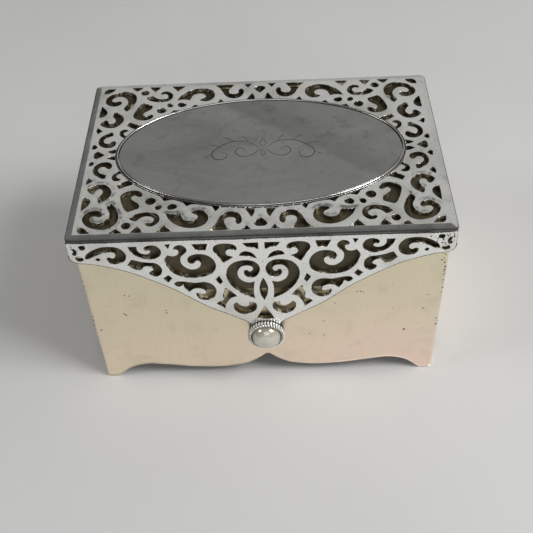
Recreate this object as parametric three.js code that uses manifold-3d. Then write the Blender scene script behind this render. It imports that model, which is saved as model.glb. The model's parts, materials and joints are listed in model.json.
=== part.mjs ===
// Hinged vanity trinket box: a four-footed metal case with a pierced lid, a pierced front flap and a round cabochon knob.
// Millimetres, +Z up, the front faces -Y. Every driving dimension is named here.
import * as THREE from "three";
import { mergeVertices } from "three/addons/utils/BufferGeometryUtils.js";
import Module from "manifold-3d";

// ---- overall ----
const LID_W = 126;            // lid width, outside
const LID_D = 85;             // lid depth, outside
const LID_TOP = 75.5;         // height of the flat of the lid
const RIM_DROP = 0.4;         // the border band falls this far to the edge
const RIM_W = 2.35;           // width of the border band
const EDGE_H = 1.2;           // height of the lid's outer edge
const LID_R = 1.8;            // corner radius of the lid in plan
const LID_UNDER = LID_TOP - RIM_DROP - EDGE_H; // underside of the lid plate

// ---- oval plaque ----
const OVAL_A = 51, OVAL_B = 29.8;   // outer semi-axes of the oval bezel
const BEZEL_W = 1.3, BEZEL_H = 0.7; // bezel ring width and height
const PLAQUE_T = 0.4;

// ---- case ----
const BODY_HW = 61.8;         // half width
const BODY_Y0 = -40.0;        // front outer face
const BODY_Y1 = 41.0;         // back outer face
const WALL = 1.5;
const BODY_R = 1.4;           // outer radius of the upright corners
const BODY_TOP = LID_UNDER;   // the case rim carries the lid
const FLOOR_Z0 = 14.5, FLOOR_Z1 = 16.0;
const LINING = 1.2, LINING_FLOOR = 2.0, LINING_TOP = 71.0;

// ---- front flap, side skirts, back rail ----
const FLAP_Y0 = -42.35, FLAP_T = 1.5;
const SKIRT_X = 62.85, SKIRT_T = 0.7, SKIRT_Z = 65.5;
const RAIL_T = 1.2;

// ---- hinges ----
const AXIS_Y = BODY_Y1 + 1.6, AXIS_Z = 66.2;
const BARREL_R = 1.4, BORE_R = 0.75, PIN_R = 0.66;
const HINGE_X = 32, LEAF_HW = 10, KNUCKLE_HW = 4;
const LEAF_T = 0.5;

// ---- knob ----
const KNOB_Z = 26.2, KNOB_R = 6.65, PEARL_R = 5.15;

// ---- case skirt: half of the scalloped lower edge, from the centre point out to the foot ----
const SKIRT_EDGE = [[0, 11.2], [3, 8.9], [5.5, 7.0], [8, 5.6], [11, 4.8], [15, 4.05], [20, 3.8], [25, 4.1], [30, 4.6], [35, 5.5],
  [40, 6.3], [44, 6.9], [47.5, 6.5], [50.5, 5.5], [53, 3.9], [55, 1.9], [56.3, 0.6], [57.3, 0]];

// ---- lower edge of the front flap, left half, down to the knob ----
// lower edge of the sheet behind the flap: left half, [x, z]
const BACKING_T = 0.3;
const BACKING_EDGE = [[-61.4, LID_UNDER], [-61.4, 67.7], [-57.0, 65.6], [-50.0, 63.3], [-45.8, 61.7], [-41.7, 59.5], [-37.5, 56.9], [-33.4, 54.1], [-29.2, 51.0], [-26.2, 48.2]];
const FLAP_EDGE = [[-62.8, 68.2], [-62.6, 66.6], [-61.8, 65.5], [-60.0, 64.6], [-57.0, 64.2], [-54.13, 63.48], [-49.98, 62.14],
  [-45.83, 60.45], [-41.69, 58.21], [-37.54, 55.59], [-33.39, 52.85], [-29.24, 49.76], [-25.09, 46.08], [-20.94, 42.43],
  [-16.78, 39.38], [-12.61, 36.84], [-9.28, 34.5], [-6.5, 32.6], [-5.3, 31.2], [-5.46, 29.35]];

// ---- piercings of the lid: front left quarter, [x, y] in the lid's plane ----
const LID_HOLES = {
  corner_spiral: [[-49.64, -25.4, 1], [-48.31, -27.04], [-47.14, -29.59], [-46.6, -32.17], [-46.93, -34.63], [-48.26, -36.56], [-50.46, -37.7], [-52.95, -37.54], [-55.32, -36.68], [-57.19, -35.04], [-58.27, -32.78], [-57.94, -30.82], [-56.61, -29.38], [-54.74, -28.73], [-53.08, -29.14], [-52.17, -30.24], [-52.33, -31.39], [-53, -31.72], [-54.2, -31.31], [-55.41, -31.47], [-56.03, -32.46], [-55.45, -33.81], [-53.91, -34.75], [-51.92, -34.55], [-50.46, -33.28], [-49.59, -31.47], [-49.76, -29.5], [-50.55, -27.95], [-50.76, -26.84]],
  corner_bit: [[-59.3, -36.74, 1], [-57.56, -37.03], [-55.94, -38.38], [-55.19, -39.6, 1], [-56.39, -39.6], [-57.93, -39.6], [-59.09, -38.5]],
  left_wedge: [[-59.4, -22.04, 1], [-57.9, -22.45], [-56.86, -24.09], [-57.07, -25.73], [-58.07, -27.37], [-59.23, -28.68, 1], [-59.4, -25.4]],
  left_c: [[-58.57, -17.94, 1], [-57.32, -16.46], [-55.33, -15.6], [-53.09, -15.73], [-51.26, -17.41], [-50.26, -19.75], [-50.67, -22.04], [-51.88, -23.64], [-53.5, -24.91, 1], [-54.12, -24.5], [-54.5, -22.53, 1], [-53.67, -21.39], [-53.13, -20.16], [-53.13, -18.93], [-53.92, -17.94], [-54.91, -17.86], [-55.7, -18.64], [-56.08, -19.75], [-56.78, -20.16], [-57.82, -19.25]],
  left_tri1: [[-58.74, -12.28, 1], [-57.28, -13.8, 1], [-59.19, -15.56, 1], [-59.4, -13.92]],
  left_c2: [[-54.42, -4], [-52.67, -4.33], [-51.68, -5.52], [-51.59, -6.62], [-52.13, -7.57], [-53.01, -7.4], [-53.84, -6.62], [-54.83, -6.34], [-55.83, -6.95], [-56.25, -8.18], [-55.66, -9.49], [-54.33, -10.31], [-53.05, -10.89, 1], [-53.25, -12.61, 1], [-54.08, -12.77], [-55.54, -11.79], [-57.08, -10.4], [-57.83, -8.59], [-57.66, -6.46], [-56.25, -4.65]],
  left_tri2: [[-59.74, -3.75, 1], [-58.99, -3.42], [-57.91, -4.41, 1], [-58.99, -5.8], [-59.65, -5.64, 1]],
  edge_hook: [[-48.16, -8.71], [-49.1, -9.49], [-50.35, -10.72], [-50.84, -12.28], [-50.26, -13.72], [-48.93, -14.21], [-47.77, -13.51], [-48.35, -13.02], [-49.27, -12.49], [-49.43, -11.54], [-48.68, -10.56], [-47.6, -9.82]],
  edge_tri: [[-53.92, -1.78, 1], [-52.34, -0.8], [-50.76, -0.72, 1], [-50.18, -3.01, 1], [-52.01, -2.6]],
  bar: [[-48.6, -16.59, 1], [-45.28, -14.41], [-43.12, -16.22, 1], [-45.44, -17.12], [-47.68, -18.31, 1]],
  big_c: [[-46.77, -22.33], [-46.23, -20.98], [-44.78, -19.95], [-42.78, -19.46], [-40.83, -19.91], [-39.71, -21.14], [-39.62, -22.33], [-40.29, -22.7], [-41.2, -22.33], [-42.03, -21.8], [-42.99, -22.33], [-43.32, -23.23], [-42.78, -24.26], [-41.53, -25.24], [-40.54, -26.31], [-40.16, -27.54], [-40.45, -28.44, 1], [-41.95, -29.14], [-43.65, -29.91, 1], [-44.52, -29.18], [-45.48, -27.25], [-46.31, -24.79]],
  dot_a: [[-38.21, -25.08], [-37.59, -23.81], [-36.47, -23.4], [-35.14, -24.09], [-34.85, -25.2], [-35.59, -26.35], [-36.55, -26.76], [-37.63, -26.31]],
  dot_b: [[-34.72, -28.36], [-33.97, -27.13], [-32.64, -27.29], [-32.89, -28.77], [-33.97, -29.34]],
  dot_c: [[-30.65, -28.27], [-29.65, -26.88], [-28.08, -27.21], [-27.58, -28.27], [-28.49, -29.18], [-30.07, -29.42]],
  scroll_a: [[-42.78, -33.28, 1], [-41.45, -31.64], [-39.04, -30.65], [-36.55, -30.49], [-34.39, -31.14], [-33.14, -32.78], [-33.06, -34.83], [-33.97, -36.27], [-35.47, -37.09], [-36.88, -36.72], [-37.54, -35.74], [-37.05, -35.33], [-35.84, -35.57], [-34.8, -34.75], [-34.72, -33.52], [-35.72, -32.54], [-37.38, -32.21], [-38.96, -32.78], [-40.58, -34.51, 1], [-41.86, -34.01]],
  crescent: [[-30.98, -31.23, 1], [-28.66, -31.64], [-26.41, -31.14, 1], [-25.96, -32.46], [-25.25, -34.1], [-23.26, -35.12], [-21.35, -34.71], [-20.35, -33.4], [-20.76, -32.21], [-21.76, -31.55], [-22.51, -30.94], [-21.51, -30.24], [-19.69, -30.08], [-17.86, -31.47], [-17.07, -34.01], [-17.94, -36.39], [-19.93, -37.79], [-22.43, -38.28], [-25.33, -37.62], [-27.82, -36.06], [-29.82, -33.81]],
  scroll_b: [[-16.69, -39.75, 1], [-15.36, -38.32], [-14.04, -35.65], [-12.79, -32.99], [-11.21, -31.64], [-9.3, -31.31], [-7.39, -32.21], [-6.27, -34.34], [-6.31, -36.39], [-7.23, -37.25], [-7.93, -36.47], [-7.97, -34.83], [-8.89, -34.05], [-10.34, -33.93], [-11.63, -34.83], [-11.79, -36.56], [-10.88, -38.32], [-9.88, -39.75, 1], [-13.29, -39.95]],
  mid_tri_half: [[0, -34.34, 1], [-1.04, -35.57], [-2.12, -37.37], [-1.33, -38.36, 1], [0, -38.52]],
  row_tri4: [[-6.15, -39.95, 1], [-5.32, -39.14], [-4.53, -37.87, 1], [-3.74, -39.14], [-3.07, -39.95, 1]],
  row_tri1: [[-48.76, -39.95, 1], [-47.97, -38.93], [-46.85, -38.03], [-45.6, -38.93], [-44.77, -39.95, 1], [-46.93, -39.95]],
  row_tri2: [[-41.86, -39.95, 1], [-41.03, -38.52], [-39.87, -37.09, 1], [-38.71, -38.52], [-37.79, -39.95, 1], [-39.87, -39.95]],
  row_tri3: [[-33.43, -39.95, 1], [-32.39, -38.61], [-31.23, -37.01, 1], [-29.69, -38.73], [-28.57, -39.95, 1], [-31.06, -39.95]],
  dot_d: [[-45.1, -36.47], [-44.36, -35.24], [-42.78, -35.33], [-42.11, -36.56], [-42.94, -37.95], [-44.27, -37.87]],
  oval_bit1: [[-33.64, -22.33, 1], [-29.82, -24.58, 1], [-31.98, -25.08, 1]],
  oval_bit2: [[-26.17, -25.4, 1], [-21.93, -26.63, 1], [-24.34, -27.95, 1]],
  oval_bit3: [[-16.11, -27.95, 1], [-13.04, -28.27, 1], [-13.79, -29.59], [-14.78, -30.82, 1]],
  oval_bit4: [[-5.15, -29.83, 1], [-1.99, -30, 1], [-2.16, -32.29], [-2.99, -34.1, 1], [-3.9, -32.29]],
  side_mid_half: [[-58.49, 0, 1], [-58.41, -1.21], [-57.58, -2.03, 1], [-56, -0.96], [-54.92, 0, 1]],
};

// ---- piercings of the flap: left half, [x, z] ----
const FLAP_HOLES = {
  corner_comma: [[-61.29, 71.48, 1], [-60.3, 71.06], [-59.89, 69.8], [-60.49, 68.37, 1], [-61.32, 68.88], [-60.72, 70.14]],
  corner_dot: [[-58.71, 72.24], [-57.13, 72.58], [-56.8, 71.48], [-58.14, 70.73]],
  corner_curl: [[-59.79, 67.86], [-58.71, 67.52], [-58.26, 66.34], [-59.22, 65.67], [-60.39, 65.92], [-60.79, 66.93]],
  long_c: [[-57.63, 66.75, 1], [-57, 68.33], [-54.82, 70.22], [-51.98, 71.49], [-48.99, 71.74], [-46.42, 71.19], [-44.85, 69.59], [-44.24, 67.49], [-44.88, 65.47], [-46.55, 64.16], [-48.64, 63.91], [-50.17, 64.83], [-50.61, 66.43], [-49.86, 66.86], [-48.62, 66.35], [-47.66, 67.02], [-47.52, 68.33], [-48.51, 69.3], [-49.92, 69.47], [-52, 68.96], [-54.42, 67.87], [-56.39, 66.69]],
  dot1: [[-54.19, 66.14], [-53.52, 66.73], [-52.86, 66.14], [-53.45, 65.55]],
  scroll1: [[-42.84, 71.4, 1], [-40.31, 71.44, 1], [-40.2, 69.59], [-39.13, 68.29], [-37.47, 67.87], [-36.3, 68.29], [-35.88, 69.17], [-36.62, 69.8], [-37.54, 69.72], [-37.86, 70.64], [-36.94, 71.53], [-35.2, 71.86], [-33.5, 71.07], [-32.68, 69.17], [-33.1, 67.36], [-34.9, 65.93], [-37.15, 65.59], [-39.3, 66.31], [-41.21, 67.78], [-42.36, 69.59]],
  bit1: [[-30.96, 71.95, 1], [-29.46, 72.08, 1], [-30.14, 70.31, 1]],
  trap1: [[-22.28, 71.74, 1], [-17.42, 71.78, 1], [-18.26, 69.01, 1], [-21.04, 68.96, 1]],
  big_spiral: [[-28.31, 70.01], [-27.64, 71.07], [-26.39, 71.53], [-24.98, 70.86], [-24.37, 69.17], [-25.29, 67.62], [-26.5, 66.35], [-26.88, 64.67], [-26.52, 62.64], [-25.28, 60.96], [-23.58, 60.03], [-21.7, 60.32], [-20.37, 61.59], [-20.07, 63.28], [-20.77, 64.25], [-21.69, 64.25], [-22.52, 63.19], [-23.6, 63.07], [-24.31, 64.25], [-24.01, 65.72], [-22.76, 66.73], [-20.59, 67.19], [-18.19, 66.61], [-16.28, 64.75], [-15.46, 62.22], [-15.8, 59.69], [-17.3, 57.75], [-19.72, 56.61], [-22.76, 56.15], [-25.88, 56.48], [-28.54, 57.75], [-30.44, 59.9], [-31.43, 62.43], [-31.91, 64.96], [-30.74, 67.03, 1], [-29.16, 66.52], [-27.74, 66.86], [-26.91, 68.04], [-27.07, 69.17], [-27.73, 69.38]],
  hook_leaf: [[-15.6, 69.47], [-14.93, 70.81], [-13.27, 71.49], [-10.78, 71.53], [-8.87, 70.82], [-8.12, 69.3], [-8.79, 68.46], [-9.95, 69.17], [-11.2, 68.88], [-11.87, 67.7], [-11.45, 66.35], [-9.63, 65.43, 1], [-11.21, 64.12], [-12.71, 62.9, 1], [-13.62, 64.67], [-14.53, 66.77], [-15.44, 68.21]],
  trap2: [[-5.92, 71.57, 1], [-1.14, 71.66, 1], [-1.14, 68.67, 1], [-2.56, 69.55], [-4.71, 69.97, 1]],
  curved_tri: [[-7.3, 66.1, 1], [-6.63, 67.28], [-5.55, 67.79], [-3.89, 67.36], [-2.64, 66.1], [-1.9, 64.63, 1], [-4.22, 65.51]],
  half_heart: [[-3.3, 45.02, 1], [-6.34, 46.67], [-9.25, 49.64], [-11.28, 52.94], [-12.1, 56.74], [-11.51, 60.03], [-9.55, 62.56], [-6.3, 63.62], [-3.4, 63.24], [-1.57, 61.47], [-1.07, 59.27], [-1.74, 56.95], [-3.24, 55.47], [-5.07, 55.73], [-6.11, 57.16], [-6.11, 58.64], [-5.31, 58.93], [-4.48, 58.17], [-3.57, 58.51], [-3.15, 59.69], [-3.81, 60.88], [-5.06, 61.3], [-6.73, 61.04], [-7.98, 59.78], [-8.6, 57.5], [-8.07, 55.13], [-6.57, 53.44], [-4.66, 52.77], [-3.08, 53.19, 1], [-3.41, 50.82], [-3.58, 48.07]],
  vesica_half: [[0, 54.84, 1], [-0.87, 52.51], [-1.37, 49.55], [-0.92, 46.38], [0, 44.05, 1]],
  quad: [[-15.81, 54.96, 1], [-14.64, 56.53, 1], [-14.15, 55.05], [-13.73, 53.78, 1], [-14.49, 52.64, 1], [-15.23, 53.7]],
  diamond: [[-33.17, 56.23, 1], [-31.45, 57.66, 1], [-30.46, 56.1, 1], [-31.89, 54.37, 1]],
  square_scroll: [[-42.64, 65.51, 1], [-39.57, 64.33], [-37.49, 63.91], [-35.16, 63.57], [-33.68, 61.88], [-33.44, 59.69], [-34.45, 57.83], [-36.11, 57.41], [-37.6, 59.01], [-36.93, 59.77], [-36.01, 60.45], [-36.26, 61.46], [-37.29, 62.31], [-38.66, 62.39], [-39.5, 61.63], [-40.34, 60.45, 1], [-41.88, 60.96], [-44.23, 62.98, 1]],
  i_shape: [[-12.99, 50.61, 1], [-11.12, 48.62], [-9.42, 46.29, 1], [-11.42, 45.49], [-12.68, 43.79], [-13.43, 42.1], [-13.86, 40.23, 1], [-15.1, 41.42], [-16.43, 42.77, 1], [-15.35, 43.71], [-14.18, 44.13], [-13.76, 45.32], [-14, 46.67], [-13.42, 48.49]],
  mid_scroll: [[-29.89, 53.19], [-29.06, 54.24], [-26.93, 54.29], [-22.98, 53.48], [-19.65, 53.7], [-17.57, 52.72], [-16.33, 50.4], [-16.42, 47.77], [-17.42, 45.87], [-19.35, 44.89], [-21.68, 45.32], [-22.84, 47.01], [-22.67, 48.45], [-20.84, 47.69], [-19.58, 48.28], [-19.75, 49.64], [-20.91, 50.61], [-22.57, 50.9], [-24.16, 50.4], [-25.33, 49.25, 1], [-26.41, 50.99], [-27.15, 52.6], [-28.57, 52]],
  low_crescent: [[-10.6, 41.93], [-9.68, 42.78], [-8.64, 41.5], [-6.76, 40.57], [-5.34, 41.42], [-5.09, 43.03, 1], [-3.42, 42.52], [-2.8, 41], [-3.26, 38.96], [-5.1, 37.26], [-6.98, 36.67], [-9.19, 37.6], [-10.52, 39.59]],
  low_tri_half: [[0, 40.49, 1], [-0.76, 39.05], [-1.6, 37.26], [-3.02, 34.2, 1], [-1.35, 33.95], [0, 33.86]],
};

const wasm = await Module();
wasm.setup();

const mats = {
  silver: new THREE.MeshStandardMaterial({ color: 0xc9cdca, metalness: 1, roughness: 0.3 }),
  rose: new THREE.MeshStandardMaterial({ color: 0xd8bfa0, metalness: 1, roughness: 0.4 }),
  gold: new THREE.MeshStandardMaterial({ color: 0x8a7650, metalness: 1, roughness: 0.4 }),
  mirror: new THREE.MeshStandardMaterial({ color: 0xdfe4e6, metalness: 1, roughness: 0.05 }),
  velvet: new THREE.MeshStandardMaterial({ color: 0x5a2430, roughness: 0.9 }),
  pearl: new THREE.MeshStandardMaterial({ color: 0xe9e7e2, roughness: 0.25 }),
  steel: new THREE.MeshStandardMaterial({ color: 0x9a9a96, metalness: 1, roughness: 0.4 }),
};

// ---------- helpers ----------
function toSolid(geometry) {
  let g = geometry.index ? geometry.toNonIndexed() : geometry.clone();
  for (const name of Object.keys(g.attributes)) if (name !== "position") g.deleteAttribute(name);
  g = mergeVertices(g, 1e-5);
  return new wasm.Manifold(new wasm.Mesh({
    numProp: 3,
    vertProperties: new Float32Array(g.attributes.position.array),
    triVerts: new Uint32Array(g.index.array),
  }));
}
function toGeometry(solid) {
  const m = solid.getMesh();
  const g = new THREE.BufferGeometry();
  const p = new Float32Array((m.vertProperties.length / m.numProp) * 3);
  for (let i = 0; i < p.length / 3; i++) for (let k = 0; k < 3; k++) p[3 * i + k] = m.vertProperties[i * m.numProp + k];
  g.setAttribute("position", new THREE.BufferAttribute(p, 3));
  g.setIndex(new THREE.BufferAttribute(new Uint32Array(m.triVerts), 1));
  g.computeVertexNormals();
  return g;
}
function box(x0, x1, y0, y1, z0, z1) {
  const g = new THREE.BoxGeometry(x1 - x0, y1 - y0, z1 - z0);
  g.translate((x0 + x1) / 2, (y0 + y1) / 2, (z0 + z1) / 2);
  return g;
}
// a closed outline in the plane, extruded along +z from z0 to z1
function prism(outline, holes, z0, z1) {
  const shape = new THREE.Shape(outline.map(([x, y]) => new THREE.Vector2(x, y)));
  shape.holes = (holes || []).map((h) => new THREE.Path(h.map(([x, y]) => new THREE.Vector2(x, y))));
  const g = new THREE.ExtrudeGeometry(shape, { depth: z1 - z0, bevelEnabled: false, steps: 1 });
  g.translate(0, 0, z0);
  return g;
}
// an outline drawn in x and z, extruded from y0 to y1
function prismY(outline, holes, y0, y1) {
  let s = toSolid(prism(outline.map(([x, z]) => [x, -z]), [], y0, y1));
  for (const h of holes || []) s = s.subtract(toSolid(prism(h.map(([x, z]) => [x, -z]), [], y0 - 1, y1 + 1)));
  const g = toGeometry(s);
  g.rotateX(-Math.PI / 2); // (x, y, z) -> (x, z, -y)
  return g;
}
function cylinderX(r, x0, x1, y, z, n) {
  const g = new THREE.CylinderGeometry(r, r, x1 - x0, n);
  g.rotateZ(Math.PI / 2);
  g.translate((x0 + x1) / 2, y, z);
  return g;
}
function roundedRect(x0, x1, y0, y1, r, n) {
  const pts = [];
  const arc = (cx, cy, a0) => {
    for (let i = 0; i <= n; i++) {
      const a = a0 + (i / n) * (Math.PI / 2);
      pts.push([cx + r * Math.cos(a), cy + r * Math.sin(a)]);
    }
  };
  arc(x1 - r, y1 - r, 0);
  arc(x0 + r, y1 - r, Math.PI / 2);
  arc(x0 + r, y0 + r, Math.PI);
  arc(x1 - r, y0 + r, 1.5 * Math.PI);
  return pts;
}
function ellipse(a, b, n) {
  return Array.from({ length: n }, (_, i) => [a * Math.cos((2 * Math.PI * i) / n), b * Math.sin((2 * Math.PI * i) / n)]);
}
const mirrorX = (h) => h.map(([x, y]) => [-x, y]).reverse();
const mirrorY = (h) => h.map(([x, y]) => [x, -y]).reverse();
function joinX(h) { // the half shape starts and ends on x = 0
  return [...h, ...h.slice(1, -1).map(([x, y]) => [-x, y]).reverse()];
}
function joinY(h) {
  return [...h, ...h.slice(1, -1).map(([x, y]) => [x, -y]).reverse()];
}
const plain = (h) => h.map(([x, y]) => [x, y]);

// ---------- the lid plate: bevelled border, flat pierced field ----------
function lidHoles() {
  const out = [];
  for (const [name, raw] of Object.entries(LID_HOLES)) {
    const h = plain(raw);
    if (name === "mid_tri_half") { const j = joinX(h); out.push(j, mirrorY(j)); }
    else if (name === "side_mid_half") { const j = joinY(h); out.push(j, mirrorX(j)); }
    else out.push(h, mirrorX(h), mirrorY(h), mirrorY(mirrorX(h)));
  }
  return out;
}
function lidPlate() {
  const hw = LID_W / 2, hd = LID_D / 2, n = 4;
  const outer = roundedRect(-hw, hw, -hd, hd, LID_R, n);
  const inner = roundedRect(-hw + RIM_W, hw - RIM_W, -hd + RIM_W, hd - RIM_W, 0.5, n);
  const N = outer.length;
  const z0 = LID_UNDER, z1 = LID_TOP - RIM_DROP, z2 = LID_TOP;
  const pos = [];
  const tri = (a, b, c) => pos.push(...a, ...b, ...c);
  for (let i = 0; i < N; i++) {
    const j = (i + 1) % N;
    const o0 = [...outer[i], z0], p0 = [...outer[j], z0], o1 = [...outer[i], z1], p1 = [...outer[j], z1];
    const q1 = [...inner[i], z2], r1 = [...inner[j], z2];
    tri(o0, p0, p1); tri(o0, p1, o1);
    tri(o1, p1, r1); tri(o1, r1, q1);
    tri([0, 0, z0], p0, o0);
    tri([0, 0, z2], q1, r1);
  }
  const g = new THREE.BufferGeometry();
  g.setAttribute("position", new THREE.BufferAttribute(new Float32Array(pos), 3));
  let solid = toSolid(g);
  for (const h of lidHoles()) solid = solid.subtract(toSolid(prism(h, [], z0 - 1, z2 + 1)));
  return toGeometry(solid);
}

// ---------- the front flap ----------
function flapPlate() {
  const left = FLAP_EDGE;
  const arc = [];
  for (let a = 170; a <= 370; a += 20) arc.push([6.3 * Math.cos((a * Math.PI) / 180), KNOB_Z + 6.3 * Math.sin((a * Math.PI) / 180)]);
  const right = left.map(([x, z]) => [-x, z]).reverse();
  const outline = [[-62.8, LID_UNDER], ...left, ...arc, ...right, [62.8, LID_UNDER]];
  const holes = [];
  for (const [name, raw] of Object.entries(FLAP_HOLES)) {
    const h = plain(raw);
    if (name.endsWith("_half")) holes.push(joinX(h));
    else holes.push(h, mirrorX(h));
  }
  return prismY(outline, holes, FLAP_Y0, FLAP_Y0 + FLAP_T);
}

// ---------- the thin sheet behind the flap's upper piercings ----------
function flapBacking() {
  const left = BACKING_EDGE;
  const right = left.map(([x, z]) => [-x, z]).reverse();
  return prismY([...left, ...right], [], FLAP_Y0 + FLAP_T, FLAP_Y0 + FLAP_T + BACKING_T);
}

// ---------- side skirts: a row of small piercings along each side ----------
function sideSkirt(sign) {
  const y0 = FLAP_Y0 + FLAP_T, y1 = LID_D / 2 - RAIL_T;
  const outline = [[y0, LID_UNDER], [y0, SKIRT_Z + 1.5], [y0 + 1.5, SKIRT_Z], [y1, SKIRT_Z], [y1, LID_UNDER]];
  const holes = [];
  const scroll = FLAP_HOLES.scroll1.map(([x, z]) => [x + 37.8, z]);
  const trap = FLAP_HOLES.trap1.map(([x, z]) => [x + 19.8, z - 0.3]);
  for (const cy of [-31, -16.5, 16.5, 31]) {
    const s = cy < 0 ? scroll : scroll.map(([x, z]) => [-x, z]).reverse();
    holes.push(s.map(([x, z]) => [x + cy, z + 1.0]));
  }
  for (const cy of [-23.8, 0, 23.8]) holes.push(trap.map(([x, z]) => [x + cy, z]));
  const g = prismY(outline, holes, 0, SKIRT_T); // x is the box's y here
  g.rotateZ(Math.PI / 2); // (x, y) -> (-y, x)
  g.translate(sign > 0 ? SKIRT_X : -SKIRT_X + SKIRT_T, 0, 0);
  return g;
}

// ---------- back rail with two hinge notches ----------
function backRail() {
  const n = LEAF_HW + 0.5, zn = AXIS_Z + 1.9;
  const pts = [[-SKIRT_X, LID_UNDER], [-SKIRT_X, SKIRT_Z]];
  for (const c of [-HINGE_X, HINGE_X]) pts.push([c - n, SKIRT_Z], [c - n, zn], [c + n, zn], [c + n, SKIRT_Z]);
  pts.push([SKIRT_X, SKIRT_Z], [SKIRT_X, LID_UNDER]);
  return prismY(pts, [], LID_D / 2 - RAIL_T, LID_D / 2);
}

// ---------- hinge leaves ----------
function lidLeaf(c) {
  const y0 = LID_D / 2, y1 = y0 + LEAF_T;
  let s = toSolid(box(c - LEAF_HW, c + LEAF_HW, y0, y1, AXIS_Z + 1.9, AXIS_Z + 6.6));
  s = s.add(toSolid(box(c - KNUCKLE_HW, c + KNUCKLE_HW, y0, y1, AXIS_Z + 0.9, AXIS_Z + 2.4)));
  s = s.add(toSolid(cylinderX(BARREL_R, c - KNUCKLE_HW, c + KNUCKLE_HW, AXIS_Y, AXIS_Z, 20)));
  s = s.subtract(toSolid(cylinderX(BORE_R, c - 12, c + 12, AXIS_Y, AXIS_Z, 16)));
  return toGeometry(s);
}
function bodyLeaf(c) {
  const y0 = BODY_Y1, y1 = y0 + LEAF_T;
  let s = toSolid(box(c - LEAF_HW, c + LEAF_HW, y0, y1, AXIS_Z - 7.6, AXIS_Z - 1.9));
  for (const [a, b] of [[c - LEAF_HW, c - KNUCKLE_HW - 0.3], [c + KNUCKLE_HW + 0.3, c + LEAF_HW]]) {
    s = s.add(toSolid(box(a, b, y0, y1, AXIS_Z - 2.4, AXIS_Z + 0.2)));
    s = s.add(toSolid(cylinderX(BARREL_R, a, b, AXIS_Y, AXIS_Z, 20)));
  }
  s = s.subtract(toSolid(cylinderX(BORE_R, c - 12, c + 12, AXIS_Y, AXIS_Z, 16)));
  return toGeometry(s);
}

// ---------- the case: one upright shell with a scalloped lower edge and four corner feet ----------
function bodyShell() {
  const outer = prism(roundedRect(-BODY_HW, BODY_HW, BODY_Y0, BODY_Y1, BODY_R, 4), [], 0, BODY_TOP);
  const inner = box(-BODY_HW + WALL, BODY_HW - WALL, BODY_Y0 + WALL, BODY_Y1 - WALL, -1, BODY_TOP + 1);
  let s = toSolid(outer).subtract(toSolid(inner));
  const half = SKIRT_EDGE;
  const cut = [...half.slice(1).map(([x, z]) => [-x, z]).reverse(), ...half, [half[half.length - 1][0], -1], [-half[half.length - 1][0], -1]];
  s = s.subtract(toSolid(prismY(cut, [], BODY_Y0 - 1, BODY_Y1 + 1)));
  const k = ((BODY_Y1 - BODY_Y0) / 2 - 4.5) / half[half.length - 1][0];
  const mid = (BODY_Y0 + BODY_Y1) / 2;
  const side = cut.map(([x, z]) => [x * k + mid, z]);
  const g = prismY(side, [], -BODY_HW - 1, BODY_HW + 1);
  g.rotateZ(Math.PI / 2);
  s = s.subtract(toSolid(g));
  return toGeometry(s);
}

// ---------- knob ----------
function solidOfRevolution(profile, n) {
  // closed fans at both ends, so the body is one closed surface
  const pos = [];
  const at = (k, i) => {
    const [r, d] = profile[k];
    const a = (2 * Math.PI * (i % n)) / n;
    return [r * Math.cos(a), -d + FLAP_Y0, r * Math.sin(a) + KNOB_Z];
  };
  for (let k = 0; k + 1 < profile.length; k++) {
    for (let i = 0; i < n; i++) {
      const a = at(k, i), b = at(k, i + 1), c = at(k + 1, i + 1), d = at(k + 1, i);
      if (profile[k][0] > 0) pos.push(...a, ...b, ...c);
      if (profile[k + 1][0] > 0) pos.push(...a, ...c, ...d);
    }
  }
  const g = new THREE.BufferGeometry();
  g.setAttribute("position", new THREE.BufferAttribute(new Float32Array(pos), 3));
  return g;
}

// ---------- assembly ----------
const group = new THREE.Group();
group.name = "trinket_box";
const knobFront = FLAP_Y0 - 5.2;
const hingeBack = AXIS_Y + BARREL_R;
const SHIFT_Y = -(knobFront + hingeBack) / 2; // centres the whole object on y = 0
function add(name, geometry, material) {
  let g = geometry;
  if (g.index) g = g.toNonIndexed();
  for (const k of Object.keys(g.attributes)) if (k !== "position") g.deleteAttribute(k);
  g = mergeVertices(g, 1e-5);
  g.computeVertexNormals();
  g.translate(0, SHIFT_Y, 0);
  const m = new THREE.Mesh(g, material);
  m.name = name;
  group.add(m);
}

add("body_shell", bodyShell(), mats.rose);
const ix = BODY_HW - WALL, iy0 = BODY_Y0 + WALL, iy1 = BODY_Y1 - WALL;
add("floor_plate", box(-ix, ix, iy0, iy1, FLOOR_Z0, FLOOR_Z1), mats.rose);
add("lining_floor", box(-ix, ix, iy0, iy1, FLOOR_Z1, FLOOR_Z1 + LINING_FLOOR), mats.velvet);
const lz = FLOOR_Z1 + LINING_FLOOR;
add("lining_front", box(-ix, ix, iy0, iy0 + LINING, lz, LINING_TOP), mats.velvet);
add("lining_back", box(-ix, ix, iy1 - LINING, iy1, lz, LINING_TOP), mats.velvet);
add("lining_left", box(-ix, -ix + LINING, iy0 + LINING, iy1 - LINING, lz, LINING_TOP), mats.velvet);
add("lining_right", box(ix - LINING, ix, iy0 + LINING, iy1 - LINING, lz, LINING_TOP), mats.velvet);
add("hinge_body_leaf_left", bodyLeaf(-HINGE_X), mats.steel);
add("hinge_body_leaf_right", bodyLeaf(HINGE_X), mats.steel);
add("hinge_pin_left", cylinderX(PIN_R, -HINGE_X - LEAF_HW - 0.2, -HINGE_X + LEAF_HW + 0.2, AXIS_Y, AXIS_Z, 16), mats.steel);
add("hinge_pin_right", cylinderX(PIN_R, HINGE_X - LEAF_HW - 0.2, HINGE_X + LEAF_HW + 0.2, AXIS_Y, AXIS_Z, 16), mats.steel);

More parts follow.
